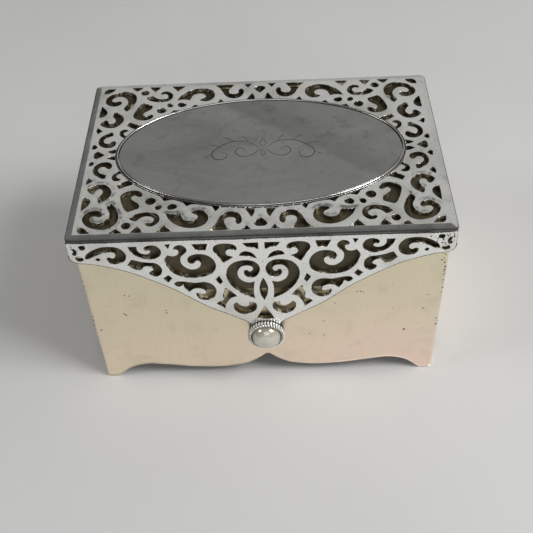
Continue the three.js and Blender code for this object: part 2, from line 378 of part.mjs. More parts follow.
add("lid_top", lidPlate(), mats.silver);
add("lid_flap", flapPlate(), mats.silver);
add("lid_side_left", sideSkirt(-1), mats.silver);
add("lid_side_right", sideSkirt(1), mats.silver);
add("lid_back_rail", backRail(), mats.silver);
add("oval_plaque", prism(ellipse(OVAL_A - BEZEL_W - 0.15, OVAL_B - BEZEL_W - 0.15, 56), [], LID_TOP, LID_TOP + PLAQUE_T), mats.silver);
add("oval_bezel", prism(ellipse(OVAL_A, OVAL_B, 56), [ellipse(OVAL_A - BEZEL_W, OVAL_B - BEZEL_W, 56)], LID_TOP, LID_TOP + BEZEL_H), mats.silver);
add("lid_backing", box(-59.8, 59.8, -38.0, 39.0, LID_UNDER - 0.4, LID_UNDER), mats.gold);
add("flap_backing", flapBacking(), mats.gold);
add("lid_mirror", box(-48.5, 48.5, -31.5, 31.5, LID_UNDER - 1.7, LID_UNDER - 0.4), mats.mirror);
add("hinge_lid_leaf_left", lidLeaf(-HINGE_X), mats.steel);
add("hinge_lid_leaf_right", lidLeaf(HINGE_X), mats.steel);
add("knob_bezel", solidOfRevolution([[0, 0], [KNOB_R, 0], [KNOB_R, 1.6], [6.2, 2.4], [5.6, 2.4], [5.3, 1.0], [0, 1.0]], 32), mats.silver);
add("knob_pearl", solidOfRevolution([[0, 1.0], [PEARL_R, 1.0], [PEARL_R, 2.2], [4.8, 3.3], [3.9, 4.25], [2.6, 4.9], [1.3, 5.15], [0, 5.2]], 28), mats.pearl);
add("knob_rivet", solidOfRevolution([[0, -FLAP_T - 0.4], [2.2, -FLAP_T - 0.4], [2.2, -FLAP_T], [0, -FLAP_T]], 16), mats.steel);

export default group;
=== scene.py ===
# Vanity trinket box: the looks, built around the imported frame.
import bpy, bmesh, json, math, random
import numpy as np
from mathutils import Matrix, Vector, geometry, noise

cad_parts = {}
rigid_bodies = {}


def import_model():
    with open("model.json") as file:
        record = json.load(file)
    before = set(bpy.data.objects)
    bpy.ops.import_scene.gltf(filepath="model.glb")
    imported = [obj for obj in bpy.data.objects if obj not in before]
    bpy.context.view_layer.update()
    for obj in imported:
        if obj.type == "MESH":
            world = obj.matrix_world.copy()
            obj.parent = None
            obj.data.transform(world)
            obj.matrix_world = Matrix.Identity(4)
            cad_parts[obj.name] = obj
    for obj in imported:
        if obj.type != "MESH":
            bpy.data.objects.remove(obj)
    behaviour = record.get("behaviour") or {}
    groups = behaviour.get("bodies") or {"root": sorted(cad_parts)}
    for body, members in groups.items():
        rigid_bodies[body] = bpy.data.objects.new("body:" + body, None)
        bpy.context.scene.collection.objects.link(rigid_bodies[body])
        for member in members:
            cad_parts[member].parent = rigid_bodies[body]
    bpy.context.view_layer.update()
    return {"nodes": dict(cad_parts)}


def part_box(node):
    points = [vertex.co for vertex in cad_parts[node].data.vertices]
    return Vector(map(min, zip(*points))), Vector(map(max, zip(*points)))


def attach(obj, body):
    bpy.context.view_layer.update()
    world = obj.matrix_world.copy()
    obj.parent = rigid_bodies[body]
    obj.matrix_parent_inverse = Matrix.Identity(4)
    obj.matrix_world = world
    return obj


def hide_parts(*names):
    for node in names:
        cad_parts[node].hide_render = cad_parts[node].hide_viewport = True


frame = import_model()
scene = bpy.context.scene
nodes = frame["nodes"]

# ---------------------------------------------------------------- measures, in millimetres, from the frame
lo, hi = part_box("lid_top")
LX, LY = (hi[0] - lo[0]) * 500, (hi[1] - lo[1]) * 500        # half width and half depth of the lid
SY = (hi[1] + lo[1]) * 500                                    # the lid's middle, in y
Z_UNDER, Z_TOP = lo[2] * 1000, hi[2] * 1000
lo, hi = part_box("body_shell")
BX = hi[0] * 1000
BY0, BY1 = lo[1] * 1000 - SY, hi[1] * 1000 - SY               # front and back of the case, from the lid's middle
B_TOP = hi[2] * 1000
lo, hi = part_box("lid_flap")
FY0, FT = lo[1] * 1000 - SY, (hi[1] - lo[1]) * 1000
lo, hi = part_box("knob_bezel")
KZ, KR = (lo[2] + hi[2]) * 500, (hi[0] - lo[0]) * 500
lo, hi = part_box("knob_pearl")
PEARL_FRONT, PEARL_R = lo[1] * 1000 - SY, (hi[0] - lo[0]) * 500
lo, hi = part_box("oval_bezel")
OA, OB, O_TOP = hi[0] * 1000, (hi[1] - lo[1]) * 500, hi[2] * 1000
P_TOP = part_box("oval_plaque")[1][2] * 1000
RIM_W, RIM_DROP = 2.35, 0.4


def W(x, y, z):
    """Millimetres from the lid's middle to the frame's metres."""
    return (x / 1000, (y + SY) / 1000, z / 1000)


# ---------------------------------------------------------------- the studio: how bright each height of the surroundings is, and the lamps
ELEV = [(0.0, 0.38), (0.45, 0.50), (0.72, 0.59), (0.84, 0.19), (1.0, 0.08)]
SIDE = [(-1.0, 0.24), (-0.38, 0.26), (-0.28, 0.86), (0.0, 0.97), (1.0, 1.0)]
LIGHTS = [
    dict(name="key", pos=(0.72, -0.30, 0.86), target=(0, 0, 0.02), size=0.46, power=8.8, colour=(1.0, 0.99, 0.97)),
    dict(name="left_panel", pos=(-0.80, -0.16, 0.74), target=(0, 0, 0.04), size=0.36, power=2.3, colour=(1.0, 0.99, 0.98)),
    dict(name="front_fill", pos=(0.10, -1.1, 0.75), target=(0, -0.05, 0.03), size=0.8, power=2.2, colour=(1.0, 0.99, 0.97)),
]

# ---------------------------------------------------------------- piercings and edges, in millimetres from the lid's middle
LID_HOLES = {
    "corner_spiral": [[-49.64, -25.4, 1], [-48.31, -27.04], [-47.14, -29.59], [-46.6, -32.17], [-46.93, -34.63], [-48.26, -36.56], [-50.46, -37.7], [-52.95, -37.54], [-55.32, -36.68], [-57.19, -35.04], [-58.27, -32.78], [-57.94, -30.82], [-56.61, -29.38], [-54.74, -28.73], [-53.08, -29.14], [-52.17, -30.24], [-52.33, -31.39], [-53.0, -31.72], [-54.2, -31.31], [-55.41, -31.47], [-56.03, -32.46], [-55.45, -33.81], [-53.91, -34.75], [-51.92, -34.55], [-50.46, -33.28], [-49.59, -31.47], [-49.76, -29.5], [-50.55, -27.95], [-50.76, -26.84]],
    "corner_bit": [[-59.3, -36.74, 1], [-57.56, -37.03], [-55.94, -38.38], [-55.19, -39.6, 1], [-56.39, -39.6], [-57.93, -39.6], [-59.09, -38.5]],
    "left_wedge": [[-59.4, -22.04, 1], [-57.9, -22.45], [-56.86, -24.09], [-57.07, -25.73], [-58.07, -27.37], [-59.23, -28.68, 1], [-59.4, -25.4]],
    "left_c": [[-58.57, -17.94, 1], [-57.32, -16.46], [-55.33, -15.6], [-53.09, -15.73], [-51.26, -17.41], [-50.26, -19.75], [-50.67, -22.04], [-51.88, -23.64], [-53.5, -24.91, 1], [-54.12, -24.5], [-54.5, -22.53, 1], [-53.67, -21.39], [-53.13, -20.16], [-53.13, -18.93], [-53.92, -17.94], [-54.91, -17.86], [-55.7, -18.64], [-56.08, -19.75], [-56.78, -20.16], [-57.82, -19.25]],
    "left_tri1": [[-58.74, -12.28, 1], [-57.28, -13.8, 1], [-59.19, -15.56, 1], [-59.4, -13.92]],
    "left_c2": [[-54.42, -4.0], [-52.67, -4.33], [-51.68, -5.52], [-51.59, -6.62], [-52.13, -7.57], [-53.01, -7.4], [-53.84, -6.62], [-54.83, -6.34], [-55.83, -6.95], [-56.25, -8.18], [-55.66, -9.49], [-54.33, -10.31], [-53.05, -10.89, 1], [-53.25, -12.61, 1], [-54.08, -12.77], [-55.54, -11.79], [-57.08, -10.4], [-57.83, -8.59], [-57.66, -6.46], [-56.25, -4.65]],
    "left_tri2": [[-59.74, -3.75, 1], [-58.99, -3.42], [-57.91, -4.41, 1], [-58.99, -5.8], [-59.65, -5.64, 1]],
    "edge_hook": [[-48.16, -8.71], [-49.1, -9.49], [-50.35, -10.72], [-50.84, -12.28], [-50.26, -13.72], [-48.93, -14.21], [-47.77, -13.51], [-48.35, -13.02], [-49.27, -12.49], [-49.43, -11.54], [-48.68, -10.56], [-47.6, -9.82]],
    "edge_tri": [[-53.92, -1.78, 1], [-52.34, -0.8], [-50.76, -0.72, 1], [-50.18, -3.01, 1], [-52.01, -2.6]],
    "bar": [[-48.6, -16.59, 1], [-45.28, -14.41], [-43.12, -16.22, 1], [-45.44, -17.12], [-47.68, -18.31, 1]],
    "big_c": [[-46.77, -22.33], [-46.23, -20.98], [-44.78, -19.95], [-42.78, -19.46], [-40.83, -19.91], [-39.71, -21.14], [-39.62, -22.33], [-40.29, -22.7], [-41.2, -22.33], [-42.03, -21.8], [-42.99, -22.33], [-43.32, -23.23], [-42.78, -24.26], [-41.53, -25.24], [-40.54, -26.31], [-40.16, -27.54], [-40.45, -28.44, 1], [-41.95, -29.14], [-43.65, -29.91, 1], [-44.52, -29.18], [-45.48, -27.25], [-46.31, -24.79]],
    "dot_a": [[-38.21, -25.08], [-37.59, -23.81], [-36.47, -23.4], [-35.14, -24.09], [-34.85, -25.2], [-35.59, -26.35], [-36.55, -26.76], [-37.63, -26.31]],
    "dot_b": [[-34.72, -28.36], [-33.97, -27.13], [-32.64, -27.29], [-32.89, -28.77], [-33.97, -29.34]],
    "dot_c": [[-30.65, -28.27], [-29.65, -26.88], [-28.08, -27.21], [-27.58, -28.27], [-28.49, -29.18], [-30.07, -29.42]],
    "scroll_a": [[-42.78, -33.28, 1], [-41.45, -31.64], [-39.04, -30.65], [-36.55, -30.49], [-34.39, -31.14], [-33.14, -32.78], [-33.06, -34.83], [-33.97, -36.27], [-35.47, -37.09], [-36.88, -36.72], [-37.54, -35.74], [-37.05, -35.33], [-35.84, -35.57], [-34.8, -34.75], [-34.72, -33.52], [-35.72, -32.54], [-37.38, -32.21], [-38.96, -32.78], [-40.58, -34.51, 1], [-41.86, -34.01]],
    "crescent": [[-30.98, -31.23, 1], [-28.66, -31.64], [-26.41, -31.14, 1], [-25.96, -32.46], [-25.25, -34.1], [-23.26, -35.12], [-21.35, -34.71], [-20.35, -33.4], [-20.76, -32.21], [-21.76, -31.55], [-22.51, -30.94], [-21.51, -30.24], [-19.69, -30.08], [-17.86, -31.47], [-17.07, -34.01], [-17.94, -36.39], [-19.93, -37.79], [-22.43, -38.28], [-25.33, -37.62], [-27.82, -36.06], [-29.82, -33.81]],
    "scroll_b": [[-16.69, -39.75, 1], [-15.36, -38.32], [-14.04, -35.65], [-12.79, -32.99], [-11.21, -31.64], [-9.3, -31.31], [-7.39, -32.21], [-6.27, -34.34], [-6.31, -36.39], [-7.23, -37.25], [-7.93, -36.47], [-7.97, -34.83], [-8.89, -34.05], [-10.34, -33.93], [-11.63, -34.83], [-11.79, -36.56], [-10.88, -38.32], [-9.88, -39.75, 1], [-13.29, -39.95]],
    "mid_tri_half": [[0.0, -34.34, 1], [-1.04, -35.57], [-2.12, -37.37], [-1.33, -38.36, 1], [0.0, -38.52]],
    "row_tri4": [[-6.15, -39.95, 1], [-5.32, -39.14], [-4.53, -37.87, 1], [-3.74, -39.14], [-3.07, -39.95, 1]],
    "row_tri1": [[-48.76, -39.95, 1], [-47.97, -38.93], [-46.85, -38.03], [-45.6, -38.93], [-44.77, -39.95, 1], [-46.93, -39.95]],
    "row_tri2": [[-41.86, -39.95, 1], [-41.03, -38.52], [-39.87, -37.09, 1], [-38.71, -38.52], [-37.79, -39.95, 1], [-39.87, -39.95]],
    "row_tri3": [[-33.43, -39.95, 1], [-32.39, -38.61], [-31.23, -37.01, 1], [-29.69, -38.73], [-28.57, -39.95, 1], [-31.06, -39.95]],
    "dot_d": [[-45.1, -36.47], [-44.36, -35.24], [-42.78, -35.33], [-42.11, -36.56], [-42.94, -37.95], [-44.27, -37.87]],
    "oval_bit1": [[-33.64, -22.33, 1], [-29.82, -24.58, 1], [-31.98, -25.08, 1]],
    "oval_bit2": [[-26.17, -25.4, 1], [-21.93, -26.63, 1], [-24.34, -27.95, 1]],
    "oval_bit3": [[-16.11, -27.95, 1], [-13.04, -28.27, 1], [-13.79, -29.59], [-14.78, -30.82, 1]],
    "oval_bit4": [[-5.15, -29.83, 1], [-1.99, -30.0, 1], [-2.16, -32.29], [-2.99, -34.1, 1], [-3.9, -32.29]],
    "side_mid_half": [[-58.49, 0.0, 1], [-58.41, -1.21], [-57.58, -2.03, 1], [-56.0, -0.96], [-54.92, 0.0, 1]],
}
FLAP_HOLES = {
    "corner_comma": [[-61.29, 71.48, 1], [-60.3, 71.06], [-59.89, 69.8], [-60.49, 68.37, 1], [-61.32, 68.88], [-60.72, 70.14]],
    "corner_dot": [[-58.71, 72.24], [-57.13, 72.58], [-56.8, 71.48], [-58.14, 70.73]],
    "corner_curl": [[-59.79, 67.86], [-58.71, 67.52], [-58.26, 66.34], [-59.22, 65.67], [-60.39, 65.92], [-60.79, 66.93]],
    "long_c": [[-57.63, 66.75, 1], [-57.0, 68.33], [-54.82, 70.22], [-51.98, 71.49], [-48.99, 71.74], [-46.42, 71.19], [-44.85, 69.59], [-44.24, 67.49], [-44.88, 65.47], [-46.55, 64.16], [-48.64, 63.91], [-50.17, 64.83], [-50.61, 66.43], [-49.86, 66.86], [-48.62, 66.35], [-47.66, 67.02], [-47.52, 68.33], [-48.51, 69.3], [-49.92, 69.47], [-52.0, 68.96], [-54.42, 67.87], [-56.39, 66.69]],
    "dot1": [[-54.19, 66.14], [-53.52, 66.73], [-52.86, 66.14], [-53.45, 65.55]],
    "scroll1": [[-42.84, 71.4, 1], [-40.31, 71.44, 1], [-40.2, 69.59], [-39.13, 68.29], [-37.47, 67.87], [-36.3, 68.29], [-35.88, 69.17], [-36.62, 69.8], [-37.54, 69.72], [-37.86, 70.64], [-36.94, 71.53], [-35.2, 71.86], [-33.5, 71.07], [-32.68, 69.17], [-33.1, 67.36], [-34.9, 65.93], [-37.15, 65.59], [-39.3, 66.31], [-41.21, 67.78], [-42.36, 69.59]],
    "bit1": [[-30.96, 71.95, 1], [-29.46, 72.08, 1], [-30.14, 70.31, 1]],
    "trap1": [[-22.28, 71.74, 1], [-17.42, 71.78, 1], [-18.26, 69.01, 1], [-21.04, 68.96, 1]],
    "big_spiral": [[-28.31, 70.01], [-27.64, 71.07], [-26.39, 71.53], [-24.98, 70.86], [-24.37, 69.17], [-25.29, 67.62], [-26.5, 66.35], [-26.88, 64.67], [-26.52, 62.64], [-25.28, 60.96], [-23.58, 60.03], [-21.7, 60.32], [-20.37, 61.59], [-20.07, 63.28], [-20.77, 64.25], [-21.69, 64.25], [-22.52, 63.19], [-23.6, 63.07], [-24.31, 64.25], [-24.01, 65.72], [-22.76, 66.73], [-20.59, 67.19], [-18.19, 66.61], [-16.28, 64.75], [-15.46, 62.22], [-15.8, 59.69], [-17.3, 57.75], [-19.72, 56.61], [-22.76, 56.15], [-25.88, 56.48], [-28.54, 57.75], [-30.44, 59.9], [-31.43, 62.43], [-31.91, 64.96], [-30.74, 67.03, 1], [-29.16, 66.52], [-27.74, 66.86], [-26.91, 68.04], [-27.07, 69.17], [-27.73, 69.38]],
    "hook_leaf": [[-15.6, 69.47], [-14.93, 70.81], [-13.27, 71.49], [-10.78, 71.53], [-8.87, 70.82], [-8.12, 69.3], [-8.79, 68.46], [-9.95, 69.17], [-11.2, 68.88], [-11.87, 67.7], [-11.45, 66.35], [-9.63, 65.43, 1], [-11.21, 64.12], [-12.71, 62.9, 1], [-13.62, 64.67], [-14.53, 66.77], [-15.44, 68.21]],
    "trap2": [[-5.92, 71.57, 1], [-1.14, 71.66, 1], [-1.14, 68.67, 1], [-2.56, 69.55], [-4.71, 69.97, 1]],
    "curved_tri": [[-7.3, 66.1, 1], [-6.63, 67.28], [-5.55, 67.79], [-3.89, 67.36], [-2.64, 66.1], [-1.9, 64.63, 1], [-4.22, 65.51]],
    "half_heart": [[-3.3, 45.02, 1], [-6.34, 46.67], [-9.25, 49.64], [-11.28, 52.94], [-12.1, 56.74], [-11.51, 60.03], [-9.55, 62.56], [-6.3, 63.62], [-3.4, 63.24], [-1.57, 61.47], [-1.07, 59.27], [-1.74, 56.95], [-3.24, 55.47], [-5.07, 55.73], [-6.11, 57.16], [-6.11, 58.64], [-5.31, 58.93], [-4.48, 58.17], [-3.57, 58.51], [-3.15, 59.69], [-3.81, 60.88], [-5.06, 61.3], [-6.73, 61.04], [-7.98, 59.78], [-8.6, 57.5], [-8.07, 55.13], [-6.57, 53.44], [-4.66, 52.77], [-3.08, 53.19, 1], [-3.41, 50.82], [-3.58, 48.07]],
    "vesica_half": [[0.0, 54.84, 1], [-0.87, 52.51], [-1.37, 49.55], [-0.92, 46.38], [0.0, 44.05, 1]],
    "quad": [[-15.81, 54.96, 1], [-14.64, 56.53, 1], [-14.15, 55.05], [-13.73, 53.78, 1], [-14.49, 52.64, 1], [-15.23, 53.7]],
    "diamond": [[-33.17, 56.23, 1], [-31.45, 57.66, 1], [-30.46, 56.1, 1], [-31.89, 54.37, 1]],
    "square_scroll": [[-42.64, 65.51, 1], [-39.57, 64.33], [-37.49, 63.91], [-35.16, 63.57], [-33.68, 61.88], [-33.44, 59.69], [-34.45, 57.83], [-36.11, 57.41], [-37.6, 59.01], [-36.93, 59.77], [-36.01, 60.45], [-36.26, 61.46], [-37.29, 62.31], [-38.66, 62.39], [-39.5, 61.63], [-40.34, 60.45, 1], [-41.88, 60.96], [-44.23, 62.98, 1]],
    "i_shape": [[-12.99, 50.61, 1], [-11.12, 48.62], [-9.42, 46.29, 1], [-11.42, 45.49], [-12.68, 43.79], [-13.43, 42.1], [-13.86, 40.23, 1], [-15.1, 41.42], [-16.43, 42.77, 1], [-15.35, 43.71], [-14.18, 44.13], [-13.76, 45.32], [-14.0, 46.67], [-13.42, 48.49]],
    "mid_scroll": [[-29.89, 53.19], [-29.06, 54.24], [-26.93, 54.29], [-22.98, 53.48], [-19.65, 53.7], [-17.57, 52.72], [-16.33, 50.4], [-16.42, 47.77], [-17.42, 45.87], [-19.35, 44.89], [-21.68, 45.32], [-22.84, 47.01], [-22.67, 48.45], [-20.84, 47.69], [-19.58, 48.28], [-19.75, 49.64], [-20.91, 50.61], [-22.57, 50.9], [-24.16, 50.4], [-25.33, 49.25, 1], [-26.41, 50.99], [-27.15, 52.6], [-28.57, 52.0]],
    "low_crescent": [[-10.6, 41.93], [-9.68, 42.78], [-8.64, 41.5], [-6.76, 40.57], [-5.34, 41.42], [-5.09, 43.03, 1], [-3.42, 42.52], [-2.8, 41.0], [-3.26, 38.96], [-5.1, 37.26], [-6.98, 36.67], [-9.19, 37.6], [-10.52, 39.59]],
    "low_tri_half": [[0.0, 40.49, 1], [-0.76, 39.05], [-1.6, 37.26], [-3.02, 34.2, 1], [-1.35, 33.95], [0.0, 33.86]],
}
SKIRT_EDGE = [[0, 11.2], [3, 8.9], [5.5, 7.0], [8, 5.6], [11, 4.8], [15, 4.05], [20, 3.8], [25, 4.1], [30, 4.6], [35, 5.5], [40, 6.3], [44, 6.9], [47.5, 6.5], [50.5, 5.5], [53, 3.9], [55, 1.9], [56.3, 0.6], [57.3, 0]]
FLAP_EDGE = [[-62.8, 68.2], [-62.6, 66.6], [-61.8, 65.5], [-60.0, 64.6], [-57.0, 64.2], [-54.13, 63.48], [-49.98, 62.14], [-45.83, 60.45], [-41.69, 58.21], [-37.54, 55.59], [-33.39, 52.85], [-29.24, 49.76], [-25.09, 46.08], [-20.94, 42.43], [-16.78, 39.38], [-12.61, 36.84], [-9.28, 34.5], [-6.5, 32.6], [-5.3, 31.2], [-5.46, 29.35]]

# ---------------------------------------------------------------- outlines
def smooth(points, n=6, closed=True):
    """A smooth curve through the points; a point with a third number is a sharp corner."""
    P = [np.array(p[:2], float) for p in points]
    C = [len(p) > 2 for p in points]
    N = len(P)
    out = []
    last = N if closed else N - 1
    for i in range(last):
        p1, p2 = P[i], P[(i + 1) % N]
        p0 = 2 * p1 - p2 if (C[i] or (not closed and i == 0)) else P[i - 1]
        p3 = 2 * p2 - p1 if (C[(i + 1) % N] or (not closed and i == N - 2)) else P[(i + 2) % N]
        d = [max(1e-6, np.linalg.norm(b - a)) ** 0.5 for a, b in ((p0, p1), (p1, p2), (p2, p3))]
        t0, t1, t2, t3 = 0, d[0], d[0] + d[1], d[0] + d[1] + d[2]
        steps = max(2, min(n, int(math.ceil(np.linalg.norm(p2 - p1) / 0.22))))
        for k in range(steps):
            t = t1 + (t2 - t1) * k / steps
            a1 = (t1 - t) / (t1 - t0) * p0 + (t - t0) / (t1 - t0) * p1
            a2 = (t2 - t) / (t2 - t1) * p1 + (t - t1) / (t2 - t1) * p2
            a3 = (t3 - t) / (t3 - t2) * p2 + (t - t2) / (t3 - t2) * p3
            b1 = (t2 - t) / (t2 - t0) * a1 + (t - t0) / (t2 - t0) * a2
            b2 = (t3 - t) / (t3 - t1) * a2 + (t - t1) / (t3 - t1) * a3
            out.append((t2 - t) / (t2 - t1) * b1 + (t - t1) / (t2 - t1) * b2)
    if not closed:
        out.append(P[-1])
    return np.array(out)


def area(p):
    x, y = p[:, 0], p[:, 1]
    return 0.5 * float(np.sum(x * np.roll(y, -1) - np.roll(x, -1) * y))


def ccw(p):
    return p if area(p) > 0 else p[::-1].copy()


def normals2(p):
    """Outward unit normals of a counter-clockwise outline, and the mitre factor."""
    a = p - np.roll(p, 1, 0)
    b = np.roll(p, -1, 0) - p
    a /= np.maximum(1e-9, np.linalg.norm(a, axis=1))[:, None]
    b /= np.maximum(1e-9, np.linalg.norm(b, axis=1))[:, None]
    na = np.stack([a[:, 1], -a[:, 0]], 1)
    nb = np.stack([b[:, 1], -b[:, 0]], 1)
    n = na + nb
    n /= np.maximum(1e-9, np.linalg.norm(n, axis=1))[:, None]
    m = 1 / np.maximum(0.55, np.sum(n * na, 1))
    return n, m


def inside(poly, pts):
    x, y = pts[:, 0], pts[:, 1]
    res = np.zeros(len(pts), bool)
    sel = (x >= poly[:, 0].min()) & (x <= poly[:, 0].max()) & (y >= poly[:, 1].min()) & (y <= poly[:, 1].max())
    if not sel.any():
        return res
    px, py = x[sel], y[sel]
    c = np.zeros(len(px), bool)
    x1, y1 = poly[:, 0], poly[:, 1]
    x2, y2 = np.roll(x1, -1), np.roll(y1, -1)
    for i in range(len(poly)):
        if y1[i] == y2[i]:
            continue
        k = ((y1[i] > py) != (y2[i] > py)) & (px < (x2[i] - x1[i]) * (py - y1[i]) / (y2[i] - y1[i]) + x1[i])
        c ^= k
    res[sel] = c
    return res


def rrect(x0, x1, y0, y1, r, n):
    pts = []
    for cx, cy, a0 in ((x1 - r, y1 - r, 0), (x0 + r, y1 - r, 90), (x0 + r, y0 + r, 180), (x1 - r, y0 + r, 270)):
        for i in range(n + 1):
            a = math.radians(a0 + 90 * i / n)
            pts.append((cx + r * math.cos(a), cy + r * math.sin(a)))
    return np.array(pts)


def densify(p, step):
    out = []
    for i in range(len(p)):
        a, b = p[i], p[(i + 1) % len(p)]
        k = max(1, int(math.ceil(np.linalg.norm(b - a) / step)))
        for j in range(k):
            out.append(a + (b - a) * j / k)
    return np.array(out)


def mirror_x(h):
    return [[-p[0]] + list(p[1:]) for p in h][::-1]


def mirror_y(h):
    return [[p[0], -p[1]] + list(p[2:]) for p in h][::-1]


def join_x(h):
    return list(h) + [[-p[0]] + list(p[1:]) for p in h[1:-1]][::-1]


def join_y(h):
    return list(h) + [[p[0], -p[1]] + list(p[2:]) for p in h[1:-1]][::-1]


# ---------------------------------------------------------------- mesh builder with its own corner normals
class Build:
    def __init__(self):
        self.v, self.key, self.f, self.n, self.m = [], {}, [], [], []

    def vert(self, p):
        k = (round(p[0], 4), round(p[1], 4), round(p[2], 4))
        i = self.key.get(k)
        if i is None:
            i = self.key[k] = len(self.v)
            self.v.append(W(*p))
        return i

    def face(self, pts, nrm, mat=0):
        idx = [self.vert(p) for p in pts]
        keep = [i for i in range(len(idx)) if idx[i] != idx[i - 1]]
        if len(keep) < 3 or len({idx[i] for i in keep}) < len(keep):
            return
        self.f.append([idx[i] for i in keep])
        self.n.append([tuple(nrm[i]) for i in keep])
        self.m.append(mat)

    def strip(self, A, B, NA, NB, mat=0, closed=True, flip=False):
        """Quads from row A to row B, both the same length."""
        N = len(A)
        for i in range(N if closed else N - 1):
            j = (i + 1) % N
            q, n = [A[i], A[j], B[j], B[i]], [NA[i], NA[j], NB[j], NB[i]]
            if flip:
                q, n = q[::-1], n[::-1]
            self.face(q, n, mat)

    def obj(self, name, mats, custom=True):
        me = bpy.data.meshes.new(name)
        me.from_pydata(self.v, [], self.f)
        for i, p in enumerate(me.polygons):
            p.material_index = self.m[i]
            p.use_smooth = True
        bm = bmesh.new()
        bm.from_mesh(me)
        bmesh.ops.recalc_face_normals(bm, faces=bm.faces)
        if bm.calc_volume(signed=True) < 0:
            bmesh.ops.reverse_faces(bm, faces=bm.faces)
        bm.to_mesh(me)
        bm.free()
        if custom:
            flat = []
            for i, p in enumerate(me.polygons):
                own = dict(zip(self.f[i], self.n[i]))
                fn = p.normal
                for li in p.loop_indices:
                    n = Vector(own[me.loops[li].vertex_index])
                    n = n.normalized() if n.length > 1e-6 else fn.copy()
                    if n.dot(fn) < -0.2:
                        n = -n
                    flat.append(n[:])
            me.normals_split_custom_set(flat)
        me.update()
        o = bpy.data.objects.new(name, me)
        for m in mats:
            me.materials.append(m)
        scene.collection.objects.link(o)
        return o


def cdt(loops, extra):
    """Triangles between closed loops: the first is the outside, the rest are holes."""
    pts, edges = [], []
    for L in loops:
        k = len(pts)
        pts += [tuple(p) for p in L]
        edges += [(k + i, k + (i + 1) % len(L)) for i in range(len(L))]
    if len(extra):
        pts += [tuple(p) for p in extra]
    r = geometry.delaunay_2d_cdt([Vector(p) for p in pts], edges, [], 0, 1e-6)
    out_v = np.array([tuple(v) for v in r[0]])
    src = [o[0] if len(o) else -1 for o in r[3]]
    P = np.array(pts)
    co = np.array([P[s] if s >= 0 else out_v[i] for i, s in enumerate(src)])
    tri = np.array([f for f in r[2] if len(f) == 3])
    c = co[tri].mean(1)
    keep = inside(np.array(loops[0]), c)
    for L in loops[1:]:
        keep &= ~inside(np.array(L), c)
    return co, tri[keep]


def grid_points(outer, holes, step, clear=0.45):
    x0, y0 = outer.min(0)
    x1, y1 = outer.max(0)
    gx, gy = np.meshgrid(np.arange(x0 + step / 2, x1, step), np.arange(y0 + step / 2, y1, step * 0.87))
    gx = gx + (np.arange(gx.shape[0]) % 2)[:, None] * step / 2
    g = np.stack([gx.ravel(), gy.ravel()], 1)
    ok = inside(outer, g)
    for h in holes:
        ok &= ~inside(h, g)
    g = g[ok]
    allp = np.concatenate([outer] + list(holes))
    keep = np.ones(len(g), bool)
    for i in range(0, len(g), 400):
        d = np.linalg.norm(g[i:i + 400, None] - allp[None], axis=2).min(1)
        keep[i:i + 400] = d > clear
    return g[keep]


